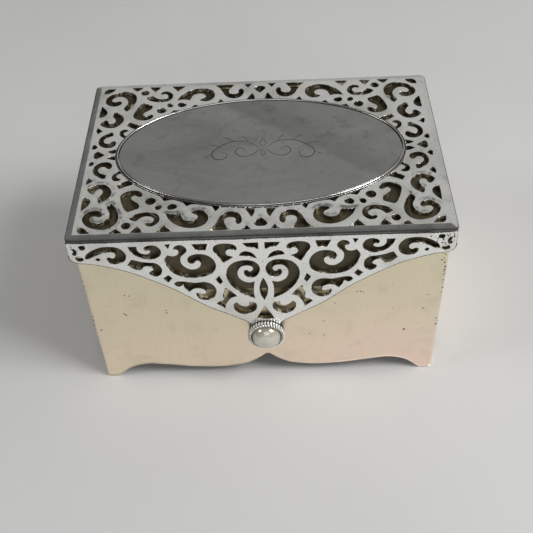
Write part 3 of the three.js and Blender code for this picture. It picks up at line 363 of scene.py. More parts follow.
def plate(b, outer, holes, t, bev, put, nrm, outer_bevel=True, relief=None, step=None, mats=(0, 0, 0), back=True, back_bev=0.0):
    """A pierced sheet t thick, its front edges rounded by bev. put(u, v, h) places a point, h from 0 at the back to t at the front;
    nrm(a, b, c) turns a normal given as along u, along v, out of the front."""
    outer = ccw(np.array(outer))
    holes = [ccw(np.array(h)) for h in holes]
    seg = 3
    fronts, backs = [], []
    flip = None
    for k, L in enumerate([outer] + holes):
        n, m = normals2(L)
        s = -1 if k == 0 else 1                      # towards the metal
        wall = n * (1 if k == 0 else -1)             # the wall's normal, away from the metal
        rows, rn = [], []
        if k == 0 and not outer_bevel:
            rows = [(0.0, t), ]
            rn = [None]
        else:
            for i in range(seg + 1):
                a = math.pi / 2 * i / seg
                rows.append((bev * (1 - math.sin(a)), t - bev * (1 - math.cos(a))))
                rn.append((math.sin(a), math.cos(a)))
            if back_bev:
                rows.append((0.0, back_bev))
                rn.append((1, 0))
                rows.append((back_bev * 0.3, back_bev * 0.3))
                rn.append((0.7, -0.7))
                rows.append((back_bev, 0.0))
                rn.append((0, -1))
            else:
                rows.append((0.0, 0.0))
                rn.append((1, 0))
        pts = [(L + n * (s * off * m)[:, None], h) for off, h in rows]
        fronts.append(pts[0][0])
        backs.append(pts[-1][0])
        for i in range(len(rows) - 1):
            (A, ha), (B, hb) = pts[i], pts[i + 1]
            za = relief(A) if relief and i == 0 else (relief(L) if relief else np.zeros(len(L)))
            zb = relief(L) if relief else np.zeros(len(L))
            if hb == 0.0:
                zb = np.zeros(len(L))
            PA = [put(p[0], p[1], ha + z) for p, z in zip(A, za)]
            PB = [put(p[0], p[1], hb + z) for p, z in zip(B, zb)]
            NA = [nrm(w[0] * rn[i][0], w[1] * rn[i][0], rn[i][1]) for w in wall]
            NB = [nrm(w[0] * rn[i + 1][0], w[1] * rn[i + 1][0], rn[i + 1][1]) for w in wall]
            b.strip(PA, PB, NA, NB, mats[1], flip=(k == 0) == PLATE_FLIP[0])
    if step:
        extra = grid_points(fronts[0], fronts[1:], step, step * 0.4)
    else:
        extra = []
    co, tri = cdt(fronts, extra)
    z = relief(co) if relief else np.zeros(len(co))
    if relief:
        e = 0.05
        gx = (relief(co + [e, 0]) - relief(co - [e, 0])) / (2 * e)
        gy = (relief(co + [0, e]) - relief(co - [0, e])) / (2 * e)
    else:
        gx = gy = np.zeros(len(co))
    P = [put(c[0], c[1], t + h) for c, h in zip(co, z)]
    NN = [nrm(-x, -y, 1) for x, y in zip(gx, gy)]
    for f in tri:
        f = list(f)
        a2 = (co[f[1]][0] - co[f[0]][0]) * (co[f[2]][1] - co[f[0]][1]) - (co[f[2]][0] - co[f[0]][0]) * (co[f[1]][1] - co[f[0]][1])
        if (a2 > 0) == PLATE_FLIP[0]:
            f = f[::-1]
        b.face([P[i] for i in f], [NN[i] for i in f], mats[0])
    if back:
        co, tri = cdt(backs, [])
        P = [put(c[0], c[1], 0) for c in co]
        down = nrm(0, 0, -1)
        for f in tri:
            f = list(f)
            a2 = (co[f[1]][0] - co[f[0]][0]) * (co[f[2]][1] - co[f[0]][1]) - (co[f[2]][0] - co[f[0]][0]) * (co[f[1]][1] - co[f[0]][1])
            if (a2 > 0) != PLATE_FLIP[0]:
                f = f[::-1]
            b.face([P[i] for i in f], [down] * 3, mats[2])
    return outer, holes


PLATE_FLIP = [False]


def check_out(o):
    """The signed volume, to see that a piece faces out."""
    bm = bmesh.new()
    bm.from_mesh(o.data)
    v = bm.calc_volume(signed=True)
    open_edges = sum(1 for e in bm.edges if len(e.link_faces) != 2)
    bm.free()
    print("PIECE", o.name, "volume mm3 %.1f" % (v * 1e9), "open edges", open_edges, "faces", len(o.data.polygons))
    return v

# ---------------------------------------------------------------- materials
def nodes_of(m):
    return m.node_tree.nodes, m.node_tree.links


def new_mat(name, colour, metallic, rough, aniso=0.0, coat=0.0, coat_rough=0.05, sheen=0.0, spec=None, ior=None, diffuse=None):
    m = bpy.data.materials.new(name)
    m.use_nodes = True
    m.diffuse_color = tuple(colour) + (1,)
    N, L = nodes_of(m)
    p = N["Principled BSDF"]
    p.inputs["Base Color"].default_value = tuple(colour) + (1,)
    p.inputs["Metallic"].default_value = metallic
    p.inputs["Roughness"].default_value = rough
    p.inputs["Anisotropic"].default_value = aniso
    p.inputs["Coat Weight"].default_value = coat
    p.inputs["Coat Roughness"].default_value = coat_rough
    p.inputs["Sheen Weight"].default_value = sheen
    if ior:
        p.inputs["IOR"].default_value = ior
    return m, N, L, p


def coords(N, L, scale=(1, 1, 1)):
    t = N.new("ShaderNodeTexCoord")
    k = N.new("ShaderNodeMapping")
    k.inputs["Scale"].default_value = scale
    L.new(t.outputs["Object"], k.inputs["Vector"])
    return k.outputs["Vector"]


def noise_tex(N, L, vec, scale, detail=3.0, rough=0.5, dist=0.0):
    t = N.new("ShaderNodeTexNoise")
    t.inputs["Scale"].default_value = scale
    t.inputs["Detail"].default_value = detail
    t.inputs["Roughness"].default_value = rough
    t.inputs["Distortion"].default_value = dist
    L.new(vec, t.inputs["Vector"])
    return t.outputs["Fac"]


def ramp(N, L, fac, stops):
    r = N.new("ShaderNodeValToRGB")
    e = r.color_ramp.elements
    while len(e) < len(stops):
        e.new(0.5)
    for i, (pos, col) in enumerate(stops):
        e[i].position = pos
        e[i].color = tuple(col) + (1,) if len(col) == 3 else tuple(col)
    L.new(fac, r.inputs["Fac"])
    return r.outputs["Color"]


def grey(v):
    return (v, v, v)


def mix(N, L, fac, a, b, kind="MIX"):
    m = N.new("ShaderNodeMix")
    m.data_type = "RGBA"
    m.blend_type = kind
    for s, v in ((m.inputs["Factor"], fac), (m.inputs["A"], a), (m.inputs["B"], b)):
        if hasattr(v, "is_output"):
            L.new(v, s)
        elif isinstance(v, (int, float)):
            s.default_value = v
        else:
            s.default_value = tuple(v) + (1,)
    return m.outputs["Result"]


def math_node(N, L, op, a, b=None, clamp=False):
    m = N.new("ShaderNodeMath")
    m.operation = op
    m.use_clamp = clamp
    for s, v in ((m.inputs[0], a), (m.inputs[1], b)):
        if v is None:
            continue
        if hasattr(v, "is_output"):
            L.new(v, s)
        else:
            s.default_value = v
    return m.outputs[0]


def add_bump(N, L, p, height, strength, distance):
    b = N.new("ShaderNodeBump")
    b.inputs["Strength"].default_value = strength
    b.inputs["Distance"].default_value = distance
    L.new(height, b.inputs["Height"])
    L.new(b.outputs["Normal"], p.inputs["Normal"])
    return b


# bright plate, slightly worn: soft cloudy tarnish, fine rubbed lines, tiny dents
def silver(name, base=(0.80, 0.81, 0.78), dark=(0.58, 0.58, 0.55), rough=(0.20, 0.34), wave=0.00045):
    m, N, L, p = new_mat(name, base, 1.0, rough[0])
    v = coords(N, L)
    cloud = noise_tex(N, L, v, 60, 5, 0.6, 0.4)
    fine = noise_tex(N, L, coords(N, L, (1, 9, 1)), 420, 3, 0.6)
    spots = noise_tex(N, L, v, 900, 2, 0.5)
    c = ramp(N, L, cloud, [(0.30, dark), (0.52, base), (1.0, base)])
    s = ramp(N, L, spots, [(0.0, grey(0.35)), (0.27, grey(0.75)), (0.33, grey(1.0))])
    c = mix(N, L, 1.0, c, s, "MULTIPLY")
    L.new(c, p.inputs["Base Color"])
    r = ramp(N, L, fine, [(0.3, grey(rough[0])), (0.75, grey(rough[1]))])
    L.new(r, p.inputs["Roughness"])
    wv = noise_tex(N, L, v, 95, 2, 0.4)
    ripples = noise_tex(N, L, v, 330, 2, 0.5)
    h = math_node(N, L, "ADD", wv, math_node(N, L, "MULTIPLY", ripples, 0.12))
    h = math_node(N, L, "ADD", h, math_node(N, L, "MULTIPLY", fine, 0.012))
    add_bump(N, L, p, h, 1.0, wave)
    return m


MAT = {}
MAT["silver"] = silver("silver_plate_bright", rough=(0.16, 0.27))
MAT["flap"] = silver("silver_plate_flap", (0.94, 0.95, 0.93), (0.74, 0.74, 0.71), (0.20, 0.32))
# a darker copy of the silver for the oval's rim, to dim its reflections: painted shade
MAT["rim"] = silver("silver_plate_rim_painted_shade", (0.60, 0.60, 0.57), (0.36, 0.35, 0.31), (0.18, 0.28), 0.00010)
MAT["bead"] = silver("silver_plate_bead", (0.92, 0.92, 0.89), (0.62, 0.61, 0.57), (0.20, 0.30), 0.00008)
MAT["bead"].node_tree.nodes["Principled BSDF"].inputs["Metallic"].default_value = 0.5
# a dark copy of the silver for the downturned face of the lid's border: painted shade
MAT["silver_dark"] = silver("silver_plate_painted_shade", (0.15, 0.15, 0.14), (0.045, 0.042, 0.038), (0.30, 0.45), 0.0003)
MAT["silver_edge"] = silver("silver_plate_edge", (0.74, 0.74, 0.71), (0.50, 0.49, 0.45), (0.24, 0.40), 0.00035)


def cut_wall():
    m, N, L, p = new_mat("cut_wall_dark_painted_glints", (0.10, 0.085, 0.06), 0.85, 0.35)
    v = coords(N, L)
    n = noise_tex(N, L, v, 420, 3, 0.6, 0.4)
    # mostly dark, with sparse bright spots in the noise: the spots are painted glints
    L.new(ramp(N, L, n, [(0.30, (0.045, 0.036, 0.024)), (0.52, (0.13, 0.11, 0.075)), (0.61, (0.70, 0.68, 0.60)), (0.8, (0.88, 0.87, 0.80))]), p.inputs["Base Color"])
    L.new(ramp(N, L, n, [(0.4, grey(0.45)), (0.7, grey(0.2))]), p.inputs["Roughness"])
    add_bump(N, L, p, n, 1.0, 0.0006)
    return m


MAT["wall"] = cut_wall()


def tarnish():
    m, N, L, p = new_mat("tarnish_in_seams", (0.06, 0.055, 0.05), 0.6, 0.6)
    v = coords(N, L)
    n = noise_tex(N, L, v, 900, 4, 0.65)
    L.new(ramp(N, L, n, [(0.3, (0.02, 0.018, 0.016)), (0.6, (0.12, 0.11, 0.10)), (0.85, (0.45, 0.44, 0.42))]), p.inputs["Base Color"])
    L.new(ramp(N, L, n, [(0.3, grey(0.75)), (0.8, grey(0.4))]), p.inputs["Roughness"])
    add_bump(N, L, p, n, 0.8, 0.0003)
    return m


MAT["tarnish"] = tarnish()


# near-black material for creases and crevices: painted shade on the lid's rolled edge, round the oval's rim, in the
# knob, and under the flap's edge
def groove():
    m, N, L, p = new_mat("black_in_grooves", (0.02, 0.018, 0.016), 0.2, 0.75)
    n = noise_tex(N, L, coords(N, L), 1500, 3, 0.6)
    L.new(ramp(N, L, n, [(0.3, (0.010, 0.009, 0.008)), (0.7, (0.05, 0.045, 0.04))]), p.inputs["Base Color"])
    L.new(ramp(N, L, n, [(0.3, grey(0.85)), (0.7, grey(0.6))]), p.inputs["Roughness"])
    return m


MAT["groove"] = groove()


def seam():
    m, N, L, p = new_mat("seam_crust", (0.03, 0.028, 0.025), 0.3, 0.7)
    n = noise_tex(N, L, coords(N, L), 700, 4, 0.65)
    L.new(ramp(N, L, n, [(0.3, (0.012, 0.011, 0.010)), (0.55, (0.05, 0.045, 0.04)), (0.72, (0.40, 0.39, 0.36))]), p.inputs["Base Color"])
    add_bump(N, L, p, n, 0.8, 0.0003)
    return m


MAT["seam"] = seam()


def plaque():
    m, N, L, p = new_mat("plaque_polished", (0.30, 0.31, 0.31), 1.0, 0.1)
    v = coords(N, L)
    smear = noise_tex(N, L, coords(N, L, (0.45, 1.0, 1)), 48, 5, 0.62, 0.9)
    smudge = noise_tex(N, L, v, 160, 4, 0.65, 0.5)
    specks = noise_tex(N, L, v, 1700, 2, 0.5)
    scr = N.new("ShaderNodeTexWave")
    scr.inputs["Scale"].default_value = 60
    scr.inputs["Distortion"].default_value = 30
    scr.inputs["Detail"].default_value = 3
    L.new(coords(N, L, (0.3, 2.2, 1)), scr.inputs["Vector"])
    c = ramp(N, L, smear, [(0.26, (0.205, 0.21, 0.21)), (0.46, (0.29, 0.293, 0.286)), (0.72, (0.35, 0.35, 0.335))])
    c = mix(N, L, 1.0, c, ramp(N, L, specks, [(0.22, grey(0.35)), (0.30, grey(1.0))]), "MULTIPLY")
    sp = N.new("ShaderNodeSeparateXYZ")
    L.new(coords(N, L, (1000, 1000, 1000)), sp.inputs["Vector"])
    # a band that runs from the back middle down to the right, softly bounded
    line = math_node(N, L, "ADD", math_node(N, L, "MULTIPLY", sp.outputs["X"], 0.62), math_node(N, L, "MULTIPLY", sp.outputs["Y"], 0.78))
    line = math_node(N, L, "ADD", line, math_node(N, L, "MULTIPLY", math_node(N, L, "SUBTRACT", smudge, 0.5), 9.0))
    band = ramp(N, L, math_node(N, L, "MULTIPLY", line, 1 / 40), [(0.30, grey(1.0)), (0.37, grey(0.80)), (0.52, grey(0.84)), (0.64, grey(1.0))])
    c = mix(N, L, 1.0, c, band, "MULTIPLY")
    c = mix(N, L, 1.0, c, ramp(N, L, smudge, [(0.30, grey(0.80)), (0.46, grey(1.0))]), "MULTIPLY")
    L.new(c, p.inputs["Base Color"])
    L.new(ramp(N, L, smudge, [(0.3, grey(0.07)), (0.55, grey(0.14)), (0.75, grey(0.30))]), p.inputs["Roughness"])
    h = math_node(N, L, "ADD", smear, math_node(N, L, "MULTIPLY", smudge, 0.08))
    h = math_node(N, L, "ADD", h, math_node(N, L, "MULTIPLY", scr.outputs["Fac"], 0.003))
    add_bump(N, L, p, h, 1.0, 0.00022)
    return m


MAT["plaque"] = plaque()


def rose():
    m, N, L, p = new_mat("case_champagne_to_rose", (0.80, 0.69, 0.55), 1.0, 0.36)
    t = N.new("ShaderNodeTexCoord")
    s = N.new("ShaderNodeSeparateXYZ")
    L.new(t.outputs["Object"], s.inputs["Vector"])
    v = coords(N, L)
    cloud = noise_tex(N, L, v, 32, 4, 0.55, 0.6)
    # pinker lower down and to the right
    z = N.new("ShaderNodeMapRange")
    z.inputs["From Min"].default_value = 0.045
    z.inputs["From Max"].default_value = 0.003
    L.new(s.outputs["Z"], z.inputs["Value"])
    x = N.new("ShaderNodeMapRange")
    x.inputs["From Min"].default_value = -0.062
    x.inputs["From Max"].default_value = 0.055
    L.new(s.outputs["X"], x.inputs["Value"])
    k = math_node(N, L, "MULTIPLY", z.outputs[0], math_node(N, L, "ADD", math_node(N, L, "MULTIPLY", x.outputs[0], 0.7), 0.3), True)
    k = math_node(N, L, "ADD", k, math_node(N, L, "MULTIPLY", math_node(N, L, "SUBTRACT", cloud, 0.5), 0.7), True)
    c = ramp(N, L, k, [(0.0, (0.86, 0.77, 0.58)), (0.45, (0.92, 0.79, 0.635)), (1.0, (0.97, 0.785, 0.675))])
    brushed = noise_tex(N, L, coords(N, L, (6, 6, 1)), 190, 4, 0.65)
    patch = noise_tex(N, L, v, 120, 5, 0.6, 0.3)
    specks = noise_tex(N, L, v, 1100, 2, 0.5)
    c = mix(N, L, 1.0, c, ramp(N, L, brushed, [(0.25, grey(0.965)), (0.6, grey(1.0))]), "MULTIPLY")
    c = mix(N, L, 1.0, c, ramp(N, L, patch, [(0.28, (0.92, 0.91, 0.90)), (0.48, grey(1.0))]), "MULTIPLY")
    c = mix(N, L, 1.0, c, ramp(N, L, specks, [(0.20, grey(0.3)), (0.27, grey(1.0))]), "MULTIPLY")
    L.new(c, p.inputs["Base Color"])
    L.new(ramp(N, L, cloud, [(0.3, grey(0.30)), (0.7, grey(0.42))]), p.inputs["Roughness"])
    wv = noise_tex(N, L, v, 55, 2, 0.4)
    h = math_node(N, L, "ADD", wv, math_node(N, L, "MULTIPLY", brushed, 0.004))
    add_bump(N, L, p, h, 1.0, 0.0005)
    return m


MAT["rose"] = rose()


def pit():
    m, N, L, p = new_mat("corroded_pit", (0.10, 0.075, 0.05), 0.3, 0.7)
    n = noise_tex(N, L, coords(N, L), 2500, 3)
    L.new(ramp(N, L, n, [(0.35, (0.016, 0.011, 0.007)), (0.7, (0.10, 0.07, 0.045))]), p.inputs["Base Color"])
    add_bump(N, L, p, n, 0.6, 0.0001)
    return m


MAT["pit"] = pit()


# dark brassy sheet material, far darker than its own tone: painted shade, used on the backing sheets, the inside of the
# case and the floor plate
def gold():
    m, N, L, p = new_mat("backing_gold_tone", (0.09, 0.075, 0.045), 0.6, 0.45)
    v = coords(N, L)
    n = noise_tex(N, L, v, 90, 5, 0.6, 0.5)
    L.new(ramp(N, L, n, [(0.3, (0.055, 0.044, 0.024)), (0.55, (0.085, 0.070, 0.040)), (0.8, (0.13, 0.11, 0.068))]), p.inputs["Base Color"])
    L.new(ramp(N, L, n, [(0.3, grey(0.55)), (0.7, grey(0.32))]), p.inputs["Roughness"])
    add_bump(N, L, p, noise_tex(N, L, v, 500, 3), 0.5, 0.0002)
    return m


MAT["gold"] = gold()


def mirror():
    m, N, L, p = new_mat("mirror_silvered", (0.86, 0.88, 0.88), 1.0, 0.03)
    v = coords(N, L)
    n = noise_tex(N, L, v, 120, 5, 0.6)
    L.new(ramp(N, L, n, [(0.2, (0.80, 0.82, 0.82)), (0.6, (0.88, 0.90, 0.90))]), p.inputs["Base Color"])
    L.new(ramp(N, L, n, [(0.4, grey(0.02)), (0.8, grey(0.07))]), p.inputs["Roughness"])
    return m


MAT["mirror"] = mirror()


def pearl():
    m, N, L, p = new_mat("pearl_gloss", (0.72, 0.69, 0.56), 0.0, 0.22, coat=1.0, coat_rough=0.05, ior=1.9)
    v = coords(N, L)
    n = noise_tex(N, L, v, 160, 3, 0.5, 0.8)
    base = ramp(N, L, n, [(0.3, (0.42, 0.43, 0.33)), (0.6, (0.54, 0.54, 0.45)), (0.85, (0.64, 0.62, 0.54))])
    # darker and browner towards the setting, by distance from the bead's own axis: painted shade where the bezel meets
    # the bead
    s = N.new("ShaderNodeSeparateXYZ")
    L.new(v, s.inputs["Vector"])
    dz = math_node(N, L, "SUBTRACT", s.outputs["Z"], KZ / 1000)
    d2 = math_node(N, L, "ADD", math_node(N, L, "MULTIPLY", s.outputs["X"], s.outputs["X"]), math_node(N, L, "MULTIPLY", dz, dz))
    d = math_node(N, L, "MULTIPLY", math_node(N, L, "SQRT", d2), 1000 / PEARL_R)
    edge = ramp(N, L, d, [(0.55, grey(0.0)), (0.98, grey(0.85))])
    L.new(mix(N, L, edge, base, (0.30, 0.25, 0.16)), p.inputs["Base Color"])
    L.new(ramp(N, L, n, [(0.3, grey(0.2)), (0.8, grey(0.32))]), p.inputs["Roughness"])
    p.inputs["Subsurface Weight"].default_value = 0.15
    p.inputs["Coat IOR"].default_value = 2.2
    p.inputs["Subsurface Radius"].default_value = (0.002, 0.0015, 0.001)
    add_bump(N, L, p, n, 0.25, 0.0003)
    return m


MAT["pearl"] = pearl()


def velvet():
    m, N, L, p = new_mat("velvet_wine", (0.17, 0.03, 0.05), 0.0, 0.95, sheen=0.8)
    p.inputs["Sheen Roughness"].default_value = 0.35
    p.inputs["Sheen Tint"].default_value = (0.95, 0.55, 0.6, 1)
    v = coords(N, L)
    pile = noise_tex(N, L, v, 2600, 3, 0.6)
    crush = noise_tex(N, L, v, 85, 4, 0.55, 0.8)
    c = ramp(N, L, crush, [(0.25, (0.10, 0.016, 0.028)), (0.55, (0.18, 0.034, 0.055)), (0.85, (0.27, 0.06, 0.09))])
    c = mix(N, L, 1.0, c, ramp(N, L, pile, [(0.25, grey(0.6)), (0.7, grey(1.0))]), "MULTIPLY")
    L.new(c, p.inputs["Base Color"])
    add_bump(N, L, p, math_node(N, L, "ADD", crush, math_node(N, L, "MULTIPLY", pile, 0.4)), 0.7, 0.0006)
    return m


MAT["velvet"] = velvet()


def steel():
    m, N, L, p = new_mat("hinge_plated_steel", (0.60, 0.60, 0.57), 1.0, 0.35)
    v = coords(N, L, (8, 1, 1))
    n = noise_tex(N, L, v, 350, 4, 0.6)
    L.new(ramp(N, L, n, [(0.25, (0.42, 0.41, 0.38)), (0.6, (0.62, 0.62, 0.59))]), p.inputs["Base Color"])
    L.new(ramp(N, L, n, [(0.3, grey(0.28)), (0.7, grey(0.45))]), p.inputs["Roughness"])
    add_bump(N, L, p, n, 0.5, 0.0001)
    return m


MAT["steel"] = steel()

# ---------------------------------------------------------------- the lid's top: pierced field inside a sloped border
def lid_hole_outlines():
    out = []
    for name, h in LID_HOLES.items():
        if name == "side_mid_half":
            a = join_y(h)
            out += [smooth(a), smooth(mirror_x(a))]
        elif name.endswith("_half"):
            a = join_x(h)
            out += [smooth(a), smooth(mirror_y(a))]
        else:
            out += [smooth(h), smooth(mirror_x(h)), smooth(mirror_y(h)), smooth(mirror_y(mirror_x(h)))]
    return [ccw(o) for o in out]


def ring(inset, r, nc=6, nx=150, ny=100):
    """A rounded rectangle inside the lid's edge, always with the same stations, and each station's outward direction."""
    x, y = LX - inset, LY - inset
    pts, dirs = [], []
    corners = []
    for cx, cy, a0 in ((x - r, y - r, 0), (-x + r, y - r, 90), (-x + r, -y + r, 180), (x - r, -y + r, 270)):
        c = []
        for i in range(nc + 1):
            a = math.radians(a0 + 90 * i / nc)
            c.append(((cx + r * math.cos(a), cy + r * math.sin(a)), (math.cos(a), math.sin(a))))
        corners.append(c)
    for k in range(4):
        pts += [q[0] for q in corners[k]]
        dirs += [q[1] for q in corners[k]]
        a, d = corners[k][-1]
        b = corners[(k + 1) % 4][0][0]
        n = nx if k in (0, 2) else ny
        for j in range(1, n):
            pts.append((a[0] + (b[0] - a[0]) * j / n, a[1] + (b[1] - a[1]) * j / n))
            dirs.append(d)
    return np.array(pts), np.array(dirs)


lid_holes = lid_hole_outlines()
from mathutils.kdtree import KDTree
_hp = np.concatenate(lid_holes)
_kd = KDTree(len(_hp))
for _i, _p in enumerate(_hp):
    _kd.insert((_p[0], _p[1], 0), _i)
_kd.balance()
# the front holes whose edges are pressed in deepest
_deep = [ccw(smooth(h)) for k in ("corner_spiral", "left_c", "crescent") for h in (LID_HOLES[k], mirror_x(LID_HOLES[k]))]
_dp = np.concatenate(_deep)
_kd2 = KDTree(len(_dp))
for _i, _p in enumerate(_dp):
    _kd2.insert((_p[0], _p[1], 0), _i)
_kd2.balance()


def field_relief(P):
    """Soft hollows round the piercings and slow waves over the sheet, in millimetres."""
    P = np.atleast_2d(P)
    out = np.empty(len(P))
    for i, (x, y) in enumerate(P):
        d = _kd.find((x, y, 0))[2]
        e = max(0.0, min(LX - RIM_W - abs(x), LY - RIM_W - abs(y)) - 0.09)
        w = noise.noise(Vector((x * 0.085, y * 0.085, 3.1))) * 0.05 + noise.noise(Vector((x * 0.23, y * 0.23, 8.7))) * 0.012
        d2 = _kd2.find((x, y, 0))[2]
        out[i] = (-0.10 * math.exp(-(d / 0.7) ** 2) - 0.17 * math.exp(-(d2 / 1.0) ** 2) + w * min(1.0, d / 0.6)) * min(1.0, e / 1.2)
    return out


def make_lid():
    b = Build()
    inner, dirs = ring(RIM_W, 0.25)
    _, holes = plate(b, inner, lid_holes, Z_TOP - Z_UNDER, 0.13,
                     lambda u, v, h: (u, v, Z_UNDER + h), lambda a, c, d: (a, c, d),
                     outer_bevel=None, relief=field_relief, step=1.15, mats=(0, 1, 1))
    # the border: a slope, a rolled outer edge, and the downturned edge
    prof = [(RIM_W, Z_TOP, 0.10, 1.0), (RIM_W - 0.10, Z_TOP - 0.012, 0.17, 1.0), (1.2, Z_TOP - 0.19, 0.19, 1.0), (0.42, Z_TOP - RIM_DROP * 0.84, 0.25, 1.0)]
    for a in (20, 45, 70, 90):
        s, c = math.sin(math.radians(a)), math.cos(math.radians(a))
        prof.append((0.40 * (1 - s), Z_TOP - RIM_DROP * 0.86 - 0.38 * (1 - c), s, c))
    prof += [(0.0, Z_UNDER + 0.12, 1.0, 0.0), (0.10, Z_UNDER, 0.0, -1.0), (RIM_W, Z_UNDER, 0.0, -1.0)]
    rows = []
    for inset, z, nr, nz in prof:
        r = 1.8 - inset if inset < 1.5 else 0.25
        pts, _ = ring(inset, max(0.25, r))
        wob = np.array([noise.noise(Vector((p[0] * 0.11, p[1] * 0.11, 0.4))) for p in pts])
        zz = z + (0.03 * wob * min(1.0, (RIM_W - inset) / 1.0) if z > Z_UNDER + 0.2 else 0 * wob)
        rows.append(([(p[0], p[1], q) for p, q in zip(pts, zz)], [(d[0] * nr, d[1] * nr, nz) for d in dirs]))
    # the round of the rolled edge and its bottom corner take the near-black material, and the downturned face the dark
    # copy of the silver: painted shade
    for i in range(len(rows) - 1):
        b.strip(rows[i][0], rows[i + 1][0], rows[i][1], rows[i + 1][1], (0, 0, 0, 0, 3, 3, 3, 2, 3, 1, 1)[i], flip=True)
    o = b.obj("lid_sheet", [MAT["silver"], MAT["wall"], MAT["silver_dark"], MAT["groove"]])
    return o


# ---------------------------------------------------------------- the flap and the side skirts
def flap_lower():
    """The flap's lower edge only, from the left corner round the knob's lobe to the right corner."""
    o = flap_outline()
    i = int(np.argmin(np.hypot(o[:, 0] + 62.8, o[:, 1] - 68.2)))
    j = int(np.argmin(np.hypot(o[:, 0] - 62.8, o[:, 1] - 68.2)))
    return o[i:j + 1] if i < j else o[j:i + 1][::-1]


def flap_outline():
    left = [[-62.8, Z_UNDER, 1], [-62.8, 68.2, 1]] + [list(p) for p in FLAP_EDGE[1:]]
    left[-1] = left[-1] + [1] if len(left[-1]) == 2 else left[-1]
    lower = smooth(left[1:], 4, closed=False)
    arc = [(6.3 * math.cos(math.radians(a)), KZ + 6.3 * math.sin(math.radians(a))) for a in range(170, 371, 8)]
    right = [(-x, z) for x, z in lower][::-1]
    top = [(62.8 - 125.6 * i / 60, Z_UNDER) for i in range(61)]
    pts = [tuple(p) for p in lower] + arc + right + top[:-1]
    pts = pts + [(-62.8, Z_UNDER)]
    out = [pts[0]]
    for p in pts[1:]:
        if math.hypot(p[0] - out[-1][0], p[1] - out[-1][1]) > 0.02:
            out.append(p)
    if math.hypot(out[0][0] - out[-1][0], out[0][1] - out[-1][1]) < 0.02:
        out.pop()
    return np.array(out)


def flap_hole_outlines():
    out = []
    for name, h in FLAP_HOLES.items():
        if name.endswith("_half"):
            out.append(smooth(join_x(h)))
        else:
            out += [smooth(h), smooth(mirror_x(h))]
    return [ccw(o) for o in out]


def wave_relief(seed, amp):
    def f(P):
        P = np.atleast_2d(P)
        return np.array([noise.noise(Vector((x * 0.07, y * 0.07, seed))) * amp for x, y in P]) * np.clip((Z_UNDER - P[:, 1]) / 3, 0, 1)
    return f


def make_flap():
    b = Build()
    plate(b, flap_outline(), flap_hole_outlines(), FT, 0.16,
          lambda u, v, h: (u, FY0 + FT - h, v), lambda a, c, d: (a, -d, c),
          relief=wave_relief(2.2, 0.05), step=2.2, mats=(0, 1, 2))
    # a thin dark ribbon along the flap's lower edge, in the near-black material: a painted shadow line under the edge
    line = flap_lower()
    n = np.gradient(line, axis=0)
    n = np.stack([n[:, 1], -n[:, 0]], 1)
    n /= np.maximum(1e-9, np.linalg.norm(n, axis=1))[:, None]
    if n[len(n) // 8][1] > 0:
        n = -n
    rows = []
    for i, (p, q) in enumerate(zip(line, n)):
        w = 0.26 + 0.08 * noise.noise(Vector((p[0] * 0.9, p[1] * 0.9, 5.0)))
        P, N_ = [], []
        for k in range(6):
            a = 2 * math.pi * k / 6
            P.append((p[0] + q[0] * w * math.cos(a), FY0 + 0.22 - 0.20 * math.sin(a), p[1] + q[1] * w * math.cos(a)))
            N_.append((q[0] * math.cos(a), -math.sin(a), q[1] * math.cos(a)))
        rows.append((P, N_))
    for i in range(len(rows) - 1):
        b.strip(rows[i][0], rows[i + 1][0], rows[i][1], rows[i + 1][1], 3)
    b.face(rows[0][0], [(-1, 0, 0)] * 6, 3)
    b.face(rows[-1][0], [(1, 0, 0)] * 6, 3)
    return b.obj("flap_sheet", [MAT["flap"], MAT["wall"], MAT["silver_edge"], MAT["groove"]])


def side_holes():
    scroll = [[p[0] + 37.8, p[1]] + list(p[2:]) for p in FLAP_HOLES["scroll1"]]
    trap = [[p[0] + 19.8, p[1] - 0.3] + list(p[2:]) for p in FLAP_HOLES["trap1"]]
    out = []
    for cy in (-32.1, -15.7, 15.7, 32.1):
        s = scroll if cy < 0 else mirror_x(scroll)
        out.append(smooth([[p[0] + cy, p[1] + 1.0] + list(p[2:]) for p in s]))
    for cy in (-23.8, 0, 23.8):
        out.append(smooth([[p[0] + cy, p[1]] + list(p[2:]) for p in trap]))
    return [ccw(o) for o in out]


def make_side(sign):
    lo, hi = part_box("lid_side_right")
    x1, t = hi[0] * 1000, (hi[0] - lo[0]) * 1000
    y0, y1, z0 = lo[1] * 1000 - SY, hi[1] * 1000 - SY, lo[2] * 1000
    out = [(y0, z0 + 1.5), (y0 + 0.2, z0 + 0.8), (y0 + 0.7, z0 + 0.22), (y0 + 1.5, z0), (y1, z0), (y1, Z_UNDER), (y0, Z_UNDER)]
    b = Build()
    plate(b, densify(np.array(out), 3.0), side_holes(), t, 0.12,
          lambda u, v, h: (sign * (x1 - t + h), u, v), lambda a, c, d: (sign * d, a, c),
          relief=wave_relief(4.0 + sign, 0.03), step=3, mats=(0, 1, 1))
    return b.obj("side_skirt_" + ("right" if sign > 0 else "left"), [MAT["silver"], MAT["wall"]])


